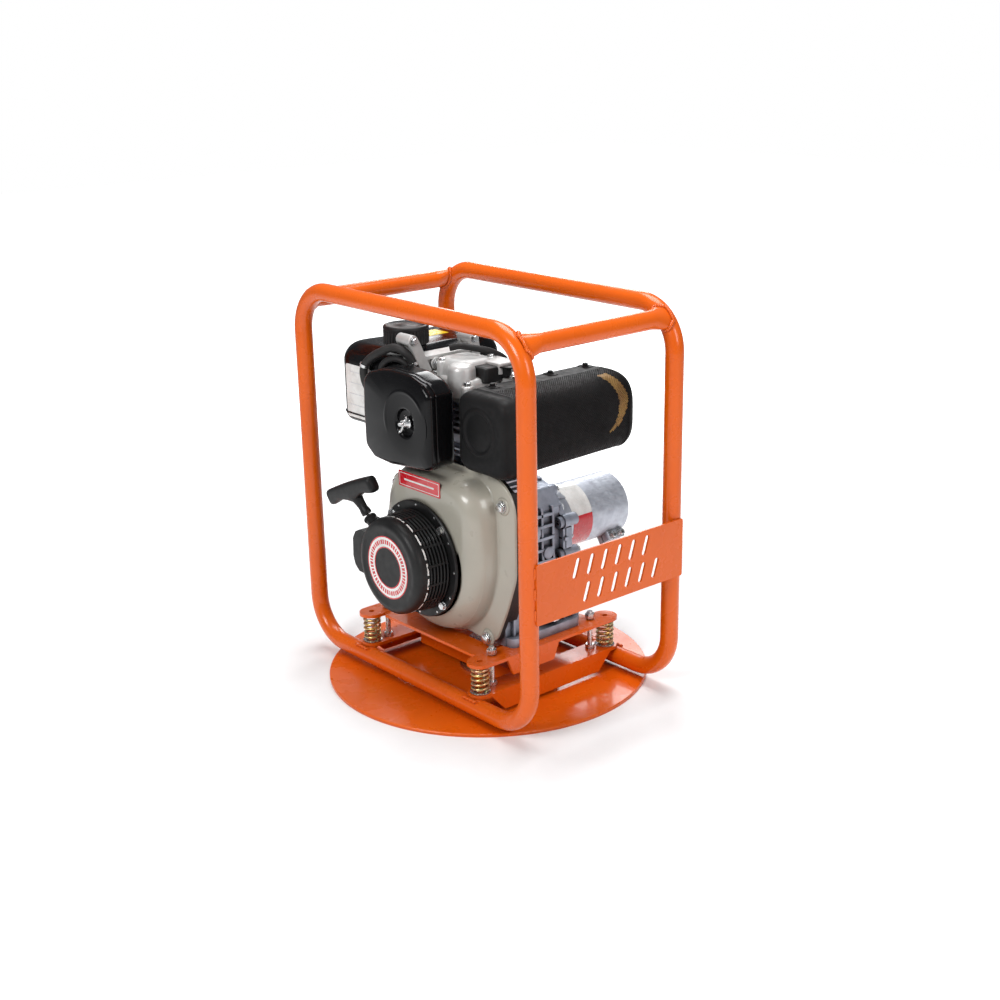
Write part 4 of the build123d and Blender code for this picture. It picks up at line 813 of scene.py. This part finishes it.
# ---------------------------------------------------------------- air cleaner
STUD = (5.0, 422.0)
AIR_OUTLINE = [(-76, 355), (-36, 351.5), (50, 359.5), (60, 367), (60, 470), (45, 484), (14, 493),
               (-26, 494), (-52, 491.5), (-82, 483), (-95, 470), (-97.5, 424), (-96, 370)]
AIR_ROUNDING = [10, 40, 8, 8, 10, 24, 60, 60, 40, 14, 12, 60, 14]


def inset(reach, amount):
    return [max(r - amount, 4.0) for r in reach]


def air_cleaner():
    """A crowned gloss-black cover with a dished wing nut recess, on a shallow case."""
    outline = rounded(AIR_OUTLINE, AIR_ROUNDING, 8)
    count = 160
    edge = reach_of(outline, count, STUD)
    flat = [0.0] * count
    ridge = []
    for i in range(count):
        angle = math.degrees(TAU * i / count)
        lift = max(0.0, math.sin(math.radians((angle - 20) * 180 / 190))) if 20 < angle < 210 else 0
        ridge.append(min(1.0, lift * 2.5))

    def ring(radii, height, raised=flat):
        made = []
        for i, radius in enumerate(radii):
            angle = TAU * i / count
            made.append((radius * math.cos(angle), radius * math.sin(angle), height + raised[i]))
        return made

    def disc(radius, height, lift=0.0):
        return ring([radius] * count, height, [lift * r for r in ridge])
    cover = [disc(3.4, 140.9), disc(15.5, 140.9), disc(18.2, 141.8), disc(19.8, 144.6),
             disc(20.6, 148.0), disc(21.8, 149.2), disc(24, 149.5), disc(41, 149.55),
             disc(43, 149.6, 0.3), disc(44.6, 149.6, 0.9), disc(46.4, 149.6, 0.9),
             disc(48, 149.6, 0.3), disc(50, 149.5),
             ring(inset(edge, 8), 149.1), ring(inset(edge, 4.6), 148.0), ring(inset(edge, 2.2), 146.2),
             ring(inset(edge, 0.8), 143.8), ring(inset(edge, 0.1), 141.0), ring(edge, 137.2),
             ring(inset(edge, 0.3), 135.9), ring(inset(edge, 3.2), 135.6), ring(inset(edge, 4.2), 144.0),
             disc(24, 145.5), disc(18.6, 139.2), disc(3.4, 139.2)]
    shape = Shape().add(loft(cover, loop=True), front(0, *STUD))
    piece("air_cleaner_lid", shape, "air_cover", ["gloss_black"], smooth=55,
          stands_for=["air_cleaner_cover"])

    case = [ring(inset(edge, 3.4), 134.9), ring(inset(edge, 0.4), 134.9), ring(inset(edge, -0.2), 133.4),
            ring(edge, 130), ring(inset(edge, 0.3), 110), ring(inset(edge, 1.6), 104),
            ring(inset(edge, 4.4), 101.3), disc(12, 101.0), disc(3.2, 101.0), disc(3.2, 104.0),
            disc(12, 104.0), ring(inset(edge, 7), 104.2), ring(inset(edge, 3.4), 108)]
    back = Shape().add(loft(case, loop=True), front(0, *STUD))
    back.add(lathe([(0.01, 101.5), (2.9, 101.5), (2.9, 158.0), (2.2, 159.3), (0.01, 159.3)], 20),
             front(0, *STUD), 1)
    for i in range(9):
        height = 150.2 + 1.0 * i
        thread = [(2.6, height), (3.05, height + 0.35), (2.6, height + 0.7)]
        back.add(lathe(thread, 20, caps=False), front(0, *STUD), 1)
    pipe = [(15, 60.5), (19, 60.5), (19, 66), (21.5, 66.5), (21.5, 72), (19, 72.5), (19, 102),
            (15, 102)]
    back.add(lathe(pipe, 40, loop=True), front(0, -22, 414))
    piece("air_cleaner_base", back, "engine", ["gloss_black", "zinc_plate"], smooth=45,
          stands_for=["air_cleaner_case"])


def wing_nut():
    """A pressed wing nut with curved ears."""
    where = front(0, *STUD)
    shape = Shape()
    shape.add(lathe([(3.1, 143.9), (8.4, 143.9), (8.6, 145.0), (6.6, 147.2), (5.4, 152.6), (4.8, 153.6),
                     (3.1, 153.6)], 32, loop=True), where)
    for sign in (1, -1):
        rings = []
        for i in range(13):
            t = i / 12
            reach = 4.0 + 12.5 * math.sin(t * 1.75) / math.sin(1.45) * 0.92
            height = 148.2 + 5.6 * t ** 1.4
            wide = 2.2 + 1.9 * math.sin(math.pi * min(1.0, t * 1.05))
            thick = 1.5 - 0.5 * t
            lean = 3.0 * t * sign
            ring = []
            for j in range(12):
                angle = TAU * j / 12
                ring.append((sign * reach + thick * math.cos(angle) * 0.3,
                             lean + wide * math.sin(angle) * 0.55,
                             height + thick * math.cos(angle) * 1.6))
            rings.append(ring)
        shape.add(loft(rings), where @ Matrix.Rotation(0.9, 4, "Z"))
    piece("wing_nut_pressed", shape, "air_wing_nut", ["zinc_plate"], smooth=50, stands_for=["wing_nut"])


# ---------------------------------------------------------------- muffler
MUFFLER = (122.0, 417.0)
GUARD_FRONT, CAP_REAR = -80.0, 133.0
MUFFLER_SCREWS = (-60, 50, 120)


def muffler_cap():
    """The pressed front cap, with a raised ring off its middle."""
    outline = [(x + MUFFLER[0], y + MUFFLER[1]) for x, y in box_outline(106, 116, 25, 10)]
    count = 144
    centre = (117.0, 421.0)
    edge = reach_of(outline, count, centre)

    def ring(amount, height):
        return [(r * math.cos(TAU * i / count), r * math.sin(TAU * i / count), height)
                for i, r in enumerate(inset(edge, amount))]

    def disc(radius, height):
        return circle(radius, count, height)
    rings = [disc(0.5, 107.4), disc(22, 107.4), disc(25.5, 106.3), disc(27.4, 106.6), disc(29.4, 108.6),
             disc(31.2, 109.0), disc(33.0, 108.4), disc(34.6, 106.6), disc(36.4, 106.5),
             disc(39, 107.2), ring(14, 107.4), ring(10.5, 107.2),
             ring(6.5, 105.9), ring(3.2, 102.8), ring(1.2, 98.5), ring(0.3, 93), ring(0.0, 84.5),
             ring(-0.9, 83.6), ring(-0.9, 80.6), ring(0.2, 79.6), ring(3.0, 79.6), ring(3.4, 92),
             ring(8, 101.5), disc(20, 103), disc(0.5, 103)]
    shape = Shape().add(loft(rings), front(0, *centre))
    piece("muffler_cap_shell", shape, "engine", ["black_paint"], smooth=55,
          stands_for=["muffler_front_cap"])


def guard_path(width, height, radius):
    """Points at equal steps round a rounded rectangle, and its whole length."""
    outline = [Vector(p) for p in box_outline(width, height, radius, 14)]
    outline.append(outline[0])
    lengths = [0.0]
    for a, b in zip(outline, outline[1:]):
        lengths.append(lengths[-1] + (b - a).length)

    def at(distance):
        distance %= lengths[-1]
        for i in range(len(lengths) - 1):
            if distance <= lengths[i + 1]:
                step = (distance - lengths[i]) / max(lengths[i + 1] - lengths[i], 1e-9)
                return outline[i].lerp(outline[i + 1], step)
        return outline[0]
    return at, lengths[-1]


def muffler_guard():
    """A guard of perforated sheet round the silencer: diamond cells, each with its own hole."""
    ends = [guard_path(104.4, 114.4, radius) for radius in (27, 45)]
    columns = 196
    row_step = ends[1][1] / columns
    rows = round((CAP_REAR + 2 - GUARD_FRONT) / row_step)
    row_step = (CAP_REAR + 2 - GUARD_FRONT) / rows
    points, index = [], {}
    faces, slots = [], []

    def at(column, row):
        near, far = (path(length * column / columns) for path, length in ends)
        return near.lerp(far, row / rows)

    def corner(column, row, key=None):
        key = key or (column % columns, row)
        if key not in index:
            spot = at(column, row)
            index[key] = len(points)
            points.append((MUFFLER[0] + spot.x, GUARD_FRONT + row * row_step, MUFFLER[1] + spot.y))
        return index[key]
    hole = 0.43
    for row in range(1, rows):
        for column in range(columns):
            if (column + row) % 2 == 0:
                continue
            rim = [corner(column + hole * math.cos(TAU * k / 8), row + hole * math.sin(TAU * k / 8),
                          (column, row, k)) for k in range(8)]
            corners = [corner(column + 1, row), corner(column, row + 1), corner(column - 1, row),
                       corner(column, row - 1)]
            spot = at(column, row)
            y = GUARD_FRONT + row * row_step
            outer = math.hypot(y - 81.3, spot.y - 23.5)
            inner = math.hypot(y - 57.1, spot.y - 19.1)
            bright = spot.x > 20 and outer < 46.7 and inner > 53.5
            for k in range(4):
                rim_part = [rim[(2 * k + 2) % 8], rim[2 * k + 1], rim[2 * k]]
                faces.append([corners[k], corners[(k + 1) % 4]] + rim_part)
                slots.append(1 if bright else 0)
    shape = Shape()
    shape.points, shape.faces, shape.slots = [Vector(p) for p in points], faces, slots
    piece("muffler_perforated_guard", shape, "engine", ["black_paint", "heat_tinted_steel"],
          smooth=70, thickness=-0.7, stands_for=["muffler_guard"])


def muffler_tail():
    """The solid rear cap, a rolled seam along the top and the screws that hold it."""
    shape = Shape()

    def ring(shrink, y):
        outline = box_outline(105.6 - 2 * shrink, 115.6 - 2 * shrink, max(45.6 - shrink, 6), 10)
        return [(x, z, y) for x, z in outline]
    rings = [ring(2.6, CAP_REAR - 3), ring(0.4, CAP_REAR - 3), ring(-0.6, CAP_REAR - 1.8),
             ring(-0.6, CAP_REAR + 1.2), ring(0.2, CAP_REAR + 2.2), ring(1.2, 138.5),
             ring(3.4, 142.2), ring(7.0, 144.6), ring(12, 145.0), ring(20, 144.2), ring(38, 143.4)]
    where = place((MUFFLER[0], 0, MUFFLER[1]), (1, 0, 0), (0, 0, 1)) @ Matrix.Scale(-1, 4, (0, 0, 1))
    shape.add(loft(rings), where)
    shape.add(slab(rounded([(84, -81), (118, -81), (118, 132), (84, 132)], 4), 472.6, 475.0))
    for y in MUFFLER_SCREWS:
        tab = slab(rounded([(-9, -8), (9, -8), (11, 0), (9, 8), (-9, 8), (-11, 0)], 3), 0, 1.0)
        shape.add(tab, top(474.8, 94, y))
    piece("muffler_rear_cap", shape, "engine", ["black_paint"], smooth=48)
    screws = Shape()
    for y in MUFFLER_SCREWS:
        spot = top(475.8, 94, y)
        screws.add(lathe([(0, 0), (5.8, 0), (5.8, 0.8), (5.2, 1.1), (0, 1.1)], 24), spot)
        screws.add(hexagon(8, 1.1, 4.4, 0.3), spot)
    piece("muffler_guard_screws", screws, "engine", ["black_paint"], bevel=0.3)


# ---------------------------------------------------------------- fuel tank
CAP_CENTRE = (-112.0, -52.0)


def fuel_tank():
    """A pressed tank with soft corners, a bottom flange, a filler neck and an outlet."""
    low, high = node_box("fuel_tank")
    left, right, front_y, rear_y, top_z, floor_z = low.x, -78.0, low.y, high.y, 503.0, 380.0
    middle = Vector(((left + right) / 2, (front_y + rear_y) / 2))
    plan = rounded([(left, front_y), (-112, front_y), (right, -80), (right, rear_y), (left, rear_y)],
                   22, 9)
    reach = reach_of(plan, 160, middle)

    def ring(shrink, z):
        return ring_at(inset(reach, shrink), z)
    rings = []
    for i in range(9):
        angle = math.pi / 2 * i / 8
        rings.append(ring(13 * (1 - math.sin(angle)), floor_z + 13 * (1 - math.cos(angle))))
    rings += [ring(0, floor_z + 13.5), ring(-1.6, floor_z + 13.8), ring(-1.6, floor_z + 16.0),
              ring(0, floor_z + 16.4), ring(0, 440)]
    for i in range(13):
        angle = math.pi / 2 * i / 12
        rings.append(ring(30 * (1 - math.cos(angle)), top_z - 30 + 29.0 * math.sin(angle)))
    rings += [ring(42, top_z - 0.4), ring(54, top_z)]
    shape = Shape().add(loft(rings), top(0, *middle))
    neck = [(22, 499), (30, 499), (30, 503.6), (28, 505), (26, 505.6), (26, 520.6), (25, 522), (22, 522)]
    shape.add(lathe(neck, 48, loop=True), top(0, *CAP_CENTRE))
    shape.add(lathe([(0, 357.8), (9, 357.8), (9, 366), (13, 368), (13, 386), (0, 386)], 28),
              top(0, -140, 30))
    piece("fuel_tank_shell", shape, "engine", ["gloss_black"], smooth=50, stands_for=["fuel_tank"])

    labels = Shape()
    labels.add(slab(box_outline(64, 82, 5), -0.3, 0.35), front(front_y, -162, 430))
    piece("tank_label_blank", labels, "engine", ["white_label"], bevel=0.1, segments=1, smooth=50)
    lines = Shape()
    for z, width in ((460, 44), (443, 50), (426, 50), (409, 50)):
        lines.add(slab(box_outline(width, 0.6, 0.25, 2), 0.3, 0.45), front(front_y, -162, z))
    piece("tank_label_rules", lines, "engine", ["cast_aluminium"], smooth=50)
    warning = Shape().add(slab(box_outline(34, 46, 2), -0.3, 0.3), top(top_z, -153, 26))
    piece("tank_top_label_blank", warning, "engine", ["yellow_label"], bevel=0.1, segments=1)


def fuel_cap():
    """A screw cap with a grooved rim and a shallow dished top."""
    count = 216
    shape = Shape()

    def ribbed(radius, height, depth):
        points = []
        for i in range(count):
            angle = TAU * i / count
            groove = depth * max(0.0, math.cos(angle * 36)) ** 2
            points.append(((radius - groove) * math.cos(angle), (radius - groove) * math.sin(angle),
                           height))
        return points
    rings = [ribbed(26.4, 506.4, 0), ribbed(33.4, 506.4, 0.3), ribbed(34.2, 507.4, 1.4),
             ribbed(34.2, 526, 1.4), ribbed(33.6, 527.5, 0.6), ribbed(34.4, 528.2, 0),
             ribbed(34.4, 531.2, 0), ribbed(33.2, 533.2, 0), ribbed(31, 534, 0), ribbed(28.6, 533.8, 0),
             ribbed(27.2, 532.6, 0), ribbed(12, 532.2, 0), ribbed(10, 532.9, 0), ribbed(2, 533.2, 0),
             ribbed(0.1, 533.2, 0), ribbed(0.1, 529.5, 0), ribbed(26.4, 529.5, 0)]
    shape.add(loft(rings, loop=True), top(0, *CAP_CENTRE))
    piece("fuel_cap_moulded", shape, "tank_cap", ["black_plastic"], smooth=45, stands_for=["fuel_cap"])


def tank_bracket():
    """A cast bracket: two ribbed arms rise from a channel to carry the tank, bolted to the head."""
    shape = Shape()
    inner, outer = -78.0, -46.0

    def arm(path, half):
        spine = curve_through([(0, y, z) for y, z in path], 6)
        for low, high, depth in ((inner, inner + 6.5, half), (outer - 6.5, outer, half),
                                 (inner + 6, outer - 6, half * 0.42)):
            left, right = [], []
            for i, spot in enumerate(spine):
                along = spine[min(i + 1, len(spine) - 1)] - spine[max(i - 1, 0)]
                across = Vector((-along.z, along.y)).normalized() * depth
                left.append((spot.y + across.x, spot.z + across.y))
                right.append((spot.y - across.x, spot.z - across.y))
            shape.add(slab(left + right[::-1], 0, high - low), right_side(low, 0, 0))
        tip = path[0]
        shape.add(lathe([(0, 0), (half - 0.8, 0), (half, 0.8), (half, outer - inner - 0.8),
                         (half - 0.8, outer - inner), (0, outer - inner)], 28),
                  right_side(inner, *tip))
    arm([(-89, 523), (-83, 512), (-77, 498), (-68, 480), (-60, 464)], 8.5)
    arm([(25, 511), (27, 500), (28, 486), (28, 462)], 8.0)
    shape.add(slab(rounded([(-64, 462), (30, 462), (30, 496), (-70, 497)], 3), 0, 25),
              right_side(inner + 2, 0, 0))
    for low, high in ((491.5, 497), (468, 473)):
        shape.add(slab([(-66, low), (28, low), (28, high), (-66, high)], 0, 30),
                  right_side(inner + 1, 0, 0))
    for y in (-30, -8, 12):
        shape.add(slab([(y - 2, 470), (y + 2, 470), (y + 2, 493), (y - 2, 493)], 0, 28.5),
                  right_side(inner + 2, 0, 0))
    shape.add(lathe([(9.5, 0), (9.5, 29.5), (8.6, 30.4), (0, 30.4)], 28), right_side(inner + 2, -48, 484))
    piece("tank_bracket_casting", shape, "engine", ["die_cast"], bevel=0.9,
          smooth=42, stands_for=["tank_bracket"])
    screws = Shape()
    for x, y, z in ((outer + 0.4, -48, 484), (outer, -89, 523), (outer, 25, 511)):
        spot = right_side(x, y, z)
        screws.add(lathe([(0, 0), (6.4, 0), (6.4, 1.2), (0, 1.2)], 28), spot)
        screws.add(hexagon(9, 1.2, 5.6, 0.4), spot)
    piece("tank_bracket_screws", screws, "engine", ["zinc_plate"], bevel=0.3, segments=1)


# ---------------------------------------------------------------- cylinder head top
def rocker_cover():
    """The cast valve cover: a soft-cornered box with a front lobe, screw lugs and a flat pad."""
    shape = Shape()

    def stack(centre, width, depth, radius, levels, slot=0):
        rings = []
        for shrink, z in levels:
            outline = box_outline(width - 2 * shrink, depth - 2 * shrink, max(radius - shrink, 2), 8)
            rings.append([(x, y, z) for x, y in outline])
        shape.add(loft(rings), top(0, *centre), slot)
    stack((-4, -22), 100, 86, 18, [(0, 440.2), (0, 446), (1.6, 448), (4.5, 449.2), (5.4, 452),
                                   (6.4, 466), (8.5, 471), (13, 473.2), (30, 473.8)])
    stack((-14, -20), 72, 70, 22, [(0, 466), (0.8, 480), (2.2, 488), (5, 492.4), (9, 494.4),
                                   (15, 495), (26, 495)])
    stack((30, -8), 34, 50, 7, [(0, 466), (0.5, 484), (1.5, 487), (4, 488), (10, 488)], 1)
    lobe = [(21.5, 447), (21, 470), (20.4, 486), (18.6, 490.6), (15, 493.2), (9, 494.3), (0, 494.6)]
    shape.add(lathe(lobe, 40), top(0, 14, -50))
    stack((20, 10), 60, 37, 6, [(0, 476), (0.3, 488.8), (0.9, 491.2), (1.8, 491.6), (10, 491.6)])
    for x, y, radius, high in ((-40, -54, 9.5, 470), (36, -58, 9, 466), (-46, 12, 9.5, 470),
                               (42, 16, 9.5, 470), (-30, -50, 8, 492), (4, 14, 8.5, 493)):
        boss = [(radius + 0.8, 445), (radius, high - 3), (radius - 0.6, high - 1), (radius - 2, high),
                (0, high)]
        shape.add(lathe(boss, 28), top(0, x, y))
    for y in (-42, -32, -22, -12, -2, 8):
        shape.add(slab(box_outline(8, 2.6, 1.2), 450, 478), top(0, -49, y))
    stack((54, 6), 32, 14, 6, [(0, 455), (0, 468), (1, 470), (4, 470.4), (6, 470.4)])
    shape.add(lathe([(6.4, 0), (6.4, 22), (7.8, 22.5), (7.8, 25), (6.4, 25.6), (6.2, 30), (0, 30)], 24),
              place((-44, -30, 481), (0, 1, 0), (0.35, 0, 1)))
    piece("rocker_cover_casting", shape, "engine", ["die_cast", "black_plastic"], bevel=0.7,
          smooth=42, stands_for=["rocker_cover"])
    screws = Shape()
    for x, y, z in ((-40, -54, 470), (36, -58, 466), (-46, 12, 470), (42, 16, 470), (-30, -50, 492),
                    (4, 14, 493), (64, 5, 470.4)):
        spot = top(z, x, y)
        screws.add(lathe([(0, 0), (5.2, 0), (5.2, 1.1), (0, 1.1)], 24), spot)
        screws.add(hexagon(9, 1.1, 3.4 if z > 480 else 5.6, 0.2), spot)
    piece("rocker_cover_screws", screws, "engine", ["zinc_plate"], bevel=0.25, segments=1)


def decompression_lever():
    """The black lift lever on the head, with its pivot screw."""
    where = top(0, 36, 4)
    outline = rounded([(-12, -11), (6, -12.5), (28, -7), (30.5, 0), (28, 7), (6, 12.5), (-12, 11)],
                      [10, 12, 6, 6, 6, 12, 10], 7)
    shape = Shape().add(slab(outline, 485.6, 488.2), where)
    web = rounded([(-9, -8), (6, -9), (22, -4.5), (22, 4.5), (6, 9), (-9, 8)], 5, 6)
    shape.add(slab(web, 472, 485.8), where)
    shape.add(lathe([(0, 470.4), (12.5, 470.4), (12.5, 474), (11, 475), (0, 475)], 32), where)
    piece("decompression_lever_moulded", shape, "decompressor", ["black_plastic"], bevel=0.9,
          smooth=40, stands_for=["decompression_lever"])
    screw = Shape()
    screw.add(lathe([(0, 487.6), (5.2, 487.6), (5.2, 489.4), (4.4, 490.2), (2.2, 490.2), (2.0, 489.0),
                     (0, 489.0)], 28), where)
    piece("decompression_screw", screw, "decompressor", ["zinc_plate"], smooth=40)


def hoses():
    """Fuel lines and the breather hose that loop over the top of the air cleaner."""
    lines = Shape()
    lines.add(sweep(curve_through([(-122, -114, 436), (-133, -116, 456), (-134, -116, 474),
                                   (-120, -115, 490), (-98, -110, 503), (-78, -102, 511),
                                   (-60, -96, 507), (-52, -88, 492), (-50, -80, 470)], 8), 6.2,
                    count=16))
    lines.add(sweep(curve_through([(-106, -104, 462), (-104, -106, 478), (-92, -104, 490),
                                   (-76, -99, 494), (-62, -92, 488), (-56, -84, 470)], 8), 4.6,
                    count=16))
    lines.add(sweep(curve_through([(-40, -27, 505), (-28, -16, 508), (-12, -2, 505), (-2, 20, 498),
                                   (-4, 48, 482), (-10, 62, 456), (-10, 66, 420)], 8), 5.0, count=16))
    piece("rubber_hoses", lines, "engine", ["black_rubber"], smooth=70)
    clips = Shape()
    radius = 6.2
    for spot, axis in (((-131.8, -115.9, 479), (0.3, 0, 1)),
                       ((-51.6, -86.5, 489), (0.15, 0.35, -0.9))):
        turn = Vector(axis).to_track_quat("Z", "Y").to_matrix().to_4x4()
        where = Matrix.Translation(spot) @ turn
        band = [(radius + 0.2, -2.4), (radius + 1.1, -2.4), (radius + 1.1, 2.4), (radius + 0.2, 2.4)]
        clips.add(lathe(band, 28, loop=True), where)
        clips.add(slab(box_outline(4.4, 5.6, 0.8), radius + 0.6, radius + 3.6),
                  where @ Matrix.Rotation(math.pi / 2, 4, "Y"))
    piece("hose_clips", clips, "engine", ["zinc_plate"], bevel=0.2, segments=1)


# ---------------------------------------------------------------- coupling side
COUPLING_END = 260.0
TOWER_RING = 84.0
COVER_FACE = 82.6                     # the ribs start just inside the cover plate's outer face
WALL_X = 74.0                         # the crankcase's right wall, which the fins stand on
FLIPPED = Matrix.Rotation(math.pi, 4, "Z")


def coupling_castings():
    """Ribs and bars between the screw towers, and fins on the crankcase's right wall."""
    where = rear()
    shape = Shape()
    for i in range(10):
        a, b = TAU * (i + 0.5) / 10, TAU * (i + 1.5) / 10
        start = Vector((math.cos(a), math.sin(a))) * TOWER_RING
        end = Vector((math.cos(b), math.sin(b))) * TOWER_RING
        along = (end - start).normalized()
        across = Vector((-along.y, along.x))
        start, end = start + along * 7.5, end - along * 7.5
        for low, high, half, shift in ((COVER_FACE, 87, 5.0, 0.0), (86, 93.5, 2.4, -2.2)):
            middle_a, middle_b = start + across * shift, end + across * shift
            bar = [middle_a + across * half, middle_a - across * half, middle_b - across * half,
                   middle_b + across * half]
            shape.add(slab([tuple(p) for p in bar], low, high), where)
        seat = 112.0 if i == 4 else 96.0
        flare = [(11.8, COVER_FACE), (10.4, 86), (9.7, seat - 5), (9.7, seat - 1.4), (9.2, seat - 0.4),
                 (8.8, seat - 0.4), (8.8, COVER_FACE)]
        tower = Matrix.Translation((TOWER_RING * math.cos(a), TOWER_RING * math.sin(a), 0))
        shape.add(lathe(flare, 32, loop=True), where @ tower)
    for i in range(10):
        rib = [(60, -2.0), (82, -1.6), (82, 1.6), (60, 2.0)]
        shape.add(slab(rib, COVER_FACE, 91), where @ Matrix.Rotation(TAU * i / 10, 4, "Z"))
    # a gusset between the long tower and the one below it
    shape.add(slab([(74, -16), (86, -16), (86, 16), (74, 16)], 88, 100), where @ FLIPPED)
    for z, reach in ((150, 18), (168, 12), (186, 9), (204, 8), (222, 9), (241, 8), (258, 7)):
        fin = [(-58, 0), (70, 0), (70, reach * 0.7), (64, reach), (-52, reach), (-58, reach * 0.7)]
        shape.add(slab(fin, 0, 4.5), place((WALL_X, 0, z), (0, 1, 0), (1, 0, 0)))
    for y in (-34, 6, 44, 66):
        fin = [(152, 0), (268, 0), (268, 5), (262, 7), (196, 7), (152, 14)]
        shape.add(slab(fin, -2, 2), place((WALL_X, y, 0), (0, 0, 1), (1, 0, 0)))
    for y, z, radius in ((24, 232, 15), (54, 196, 10), (-14, 206, 12)):
        boss = [(radius + 1, 0), (radius, 3), (radius - 0.6, 9.6), (radius - 2, 10.6), (0, 10.6)]
        shape.add(lathe(boss, 32), right_side(WALL_X, y, z))
    piece("end_cover_castings", shape, "engine", ["sand_cast"], bevel=0.8,
          smooth=40)


def coupling_label():
    """A blank two-tone band on the tube, and the two screws of its clamp."""
    where = rear()
    shape = Shape()
    section = [(52.8, 135), (53.3, 135), (51.4, 168), (51.4, 178), (51.0, 178), (50.9, 168)]
    for low, high, slot in ((95, 165, 0), (165, 238, 1)):
        rings = []
        for i in range(25):
            angle = math.radians(low + (high - low) * i / 24)
            c, s = math.cos(angle), math.sin(angle)
            rings.append([(r * c, r * s, y) for r, y in section])
        shape.add(loft(rings), where, slot)
    piece("coupling_band_label", shape, "engine", ["white_label", "red_plastic"], smooth=60)
    clamp = Shape()
    lug = Vector((0.55, 0, -0.835)).normalized()
    centre = Vector((0, COUPLING_END - 22, CRANK_Z)) + lug * 57
    across = Vector((lug.z, 0, -lug.x))
    for y in (-9, 9):
        turn = (-across).to_track_quat("Z", "Y").to_matrix().to_4x4()
        where = Matrix.Translation(centre + Vector((0, y, 0)) - across * 13.9) @ turn
        clamp.add(lathe([(0, 0), (6.6, 0), (6.6, 1.2), (0, 1.2)], 28), where)
        clamp.add(lathe([(4.9, 1.2), (5.0, 1.4), (5.0, 6.6), (4.4, 7.2), (2.8, 7.2), (2.6, 4.0),
                         (0, 4.0)], 28), where)
    piece("coupling_clamp_screws", clamp, "engine", ["zinc_plate"], smooth=40)


for make in (top_tie_tubes, frame_welds, isolator_springs, fan_shroud, shroud_trim, recoil_starter,
             starter_handle, air_cleaner, wing_nut, muffler_cap, muffler_guard, muffler_tail,
             fuel_tank, fuel_cap, tank_bracket, rocker_cover, decompression_lever, hoses,
             coupling_castings, coupling_label):
    make()


# ---------------------------------------------------------------- floor, light, camera
def studio():
    """A pale floor, four soft boxes and a quiet grey room that gloss surfaces reflect."""
    bpy.ops.mesh.primitive_plane_add(size=14)
    floor = bpy.context.object
    floor.name = "floor"
    pale = Finish("floor_paper", roughness=0.75)
    grain = pale.spread(pale.noise(14, 3), 0.3, 0.7)
    pale.feed("Base Color", pale.mix(grain, rgb(0.93, 0.93, 0.93), rgb(0.90, 0.90, 0.90)))
    away = pale.node("ShaderNodeVectorMath", {0: pale.where}, operation="LENGTH").outputs["Value"]
    seen = pale.node("ShaderNodeLightPath", {}).outputs["Is Camera Ray"]
    fade = pale.node("ShaderNodeMath", {0: pale.spread(away, 0.6, 1.6), 1: seen}, operation="MULTIPLY")
    pale.feed("Emission Color", rgb(1.0, 1.0, 1.0))
    pale.feed("Emission Strength", fade.outputs["Value"])
    floor.data.materials.append(pale.material)

    world = bpy.data.worlds.new("room")
    bpy.context.scene.world = world
    world.use_nodes = True
    nodes, links = world.node_tree.nodes, world.node_tree.links
    background = nodes["Background"]
    seen = nodes.new("ShaderNodeLightPath").outputs["Is Camera Ray"]
    shade = nodes.new("ShaderNodeMix")
    shade.data_type = "RGBA"
    shade.inputs[6].default_value = rgb(0.20, 0.205, 0.215)
    shade.inputs[7].default_value = rgb(1.0, 1.0, 1.0)
    links.new(seen, shade.inputs[0])
    links.new(shade.outputs[2], background.inputs["Color"])

    def softbox(name, location, target, width, height, power):
        light = bpy.data.lights.new(name, "AREA")
        light.shape = "RECTANGLE"
        light.size = width
        light.size_y = height
        light.energy = power
        lamp = bpy.data.objects.new(name, light)
        bpy.context.scene.collection.objects.link(lamp)
        lamp.location = location
        lamp.rotation_euler = (Vector(target) - Vector(location)).to_track_quat("-Z", "Y").to_euler()

    middle = (0, 0, 0.3)
    softbox("key", (0.5, -2.4, 1.9), middle, 1.1, 0.8, 44)
    softbox("right", (2.6, 0.1, 1.5), middle, 0.9, 1.1, 25)
    softbox("overhead", (-0.3, 0.4, 2.8), middle, 1.6, 1.6, 66)
    softbox("back", (-1.9, 1.9, 1.6), middle, 1.0, 1.0, 18)
    bpy.context.scene.view_settings.view_transform = "Standard"


def closing_camera():
    """The camera looks from azimuth 49 degrees and 19 degrees up, with a slight roll."""
    azimuth, elevation, roll = (math.radians(a) for a in (48.72, 18.89, -0.86))
    back = Vector((math.sin(azimuth) * math.cos(elevation),
                   -math.cos(azimuth) * math.cos(elevation), math.sin(elevation)))
    data = bpy.data.cameras.new("camera")
    data.lens = 53.98
    data.sensor_width = 36
    data.shift_x = -0.0198
    data.shift_y = 0.0240
    camera = bpy.data.objects.new("camera", data)
    bpy.context.scene.collection.objects.link(camera)
    turn = (-back).to_track_quat("-Z", "Y")
    camera.rotation_mode = "QUATERNION"
    roll_turn = Matrix.Rotation(roll, 3, "Z").to_quaternion()
    camera.rotation_quaternion = turn @ roll_turn
    camera.location = (1.6566, -1.3847, 0.9724)
    bpy.context.scene.camera = camera


studio()
closing_camera()
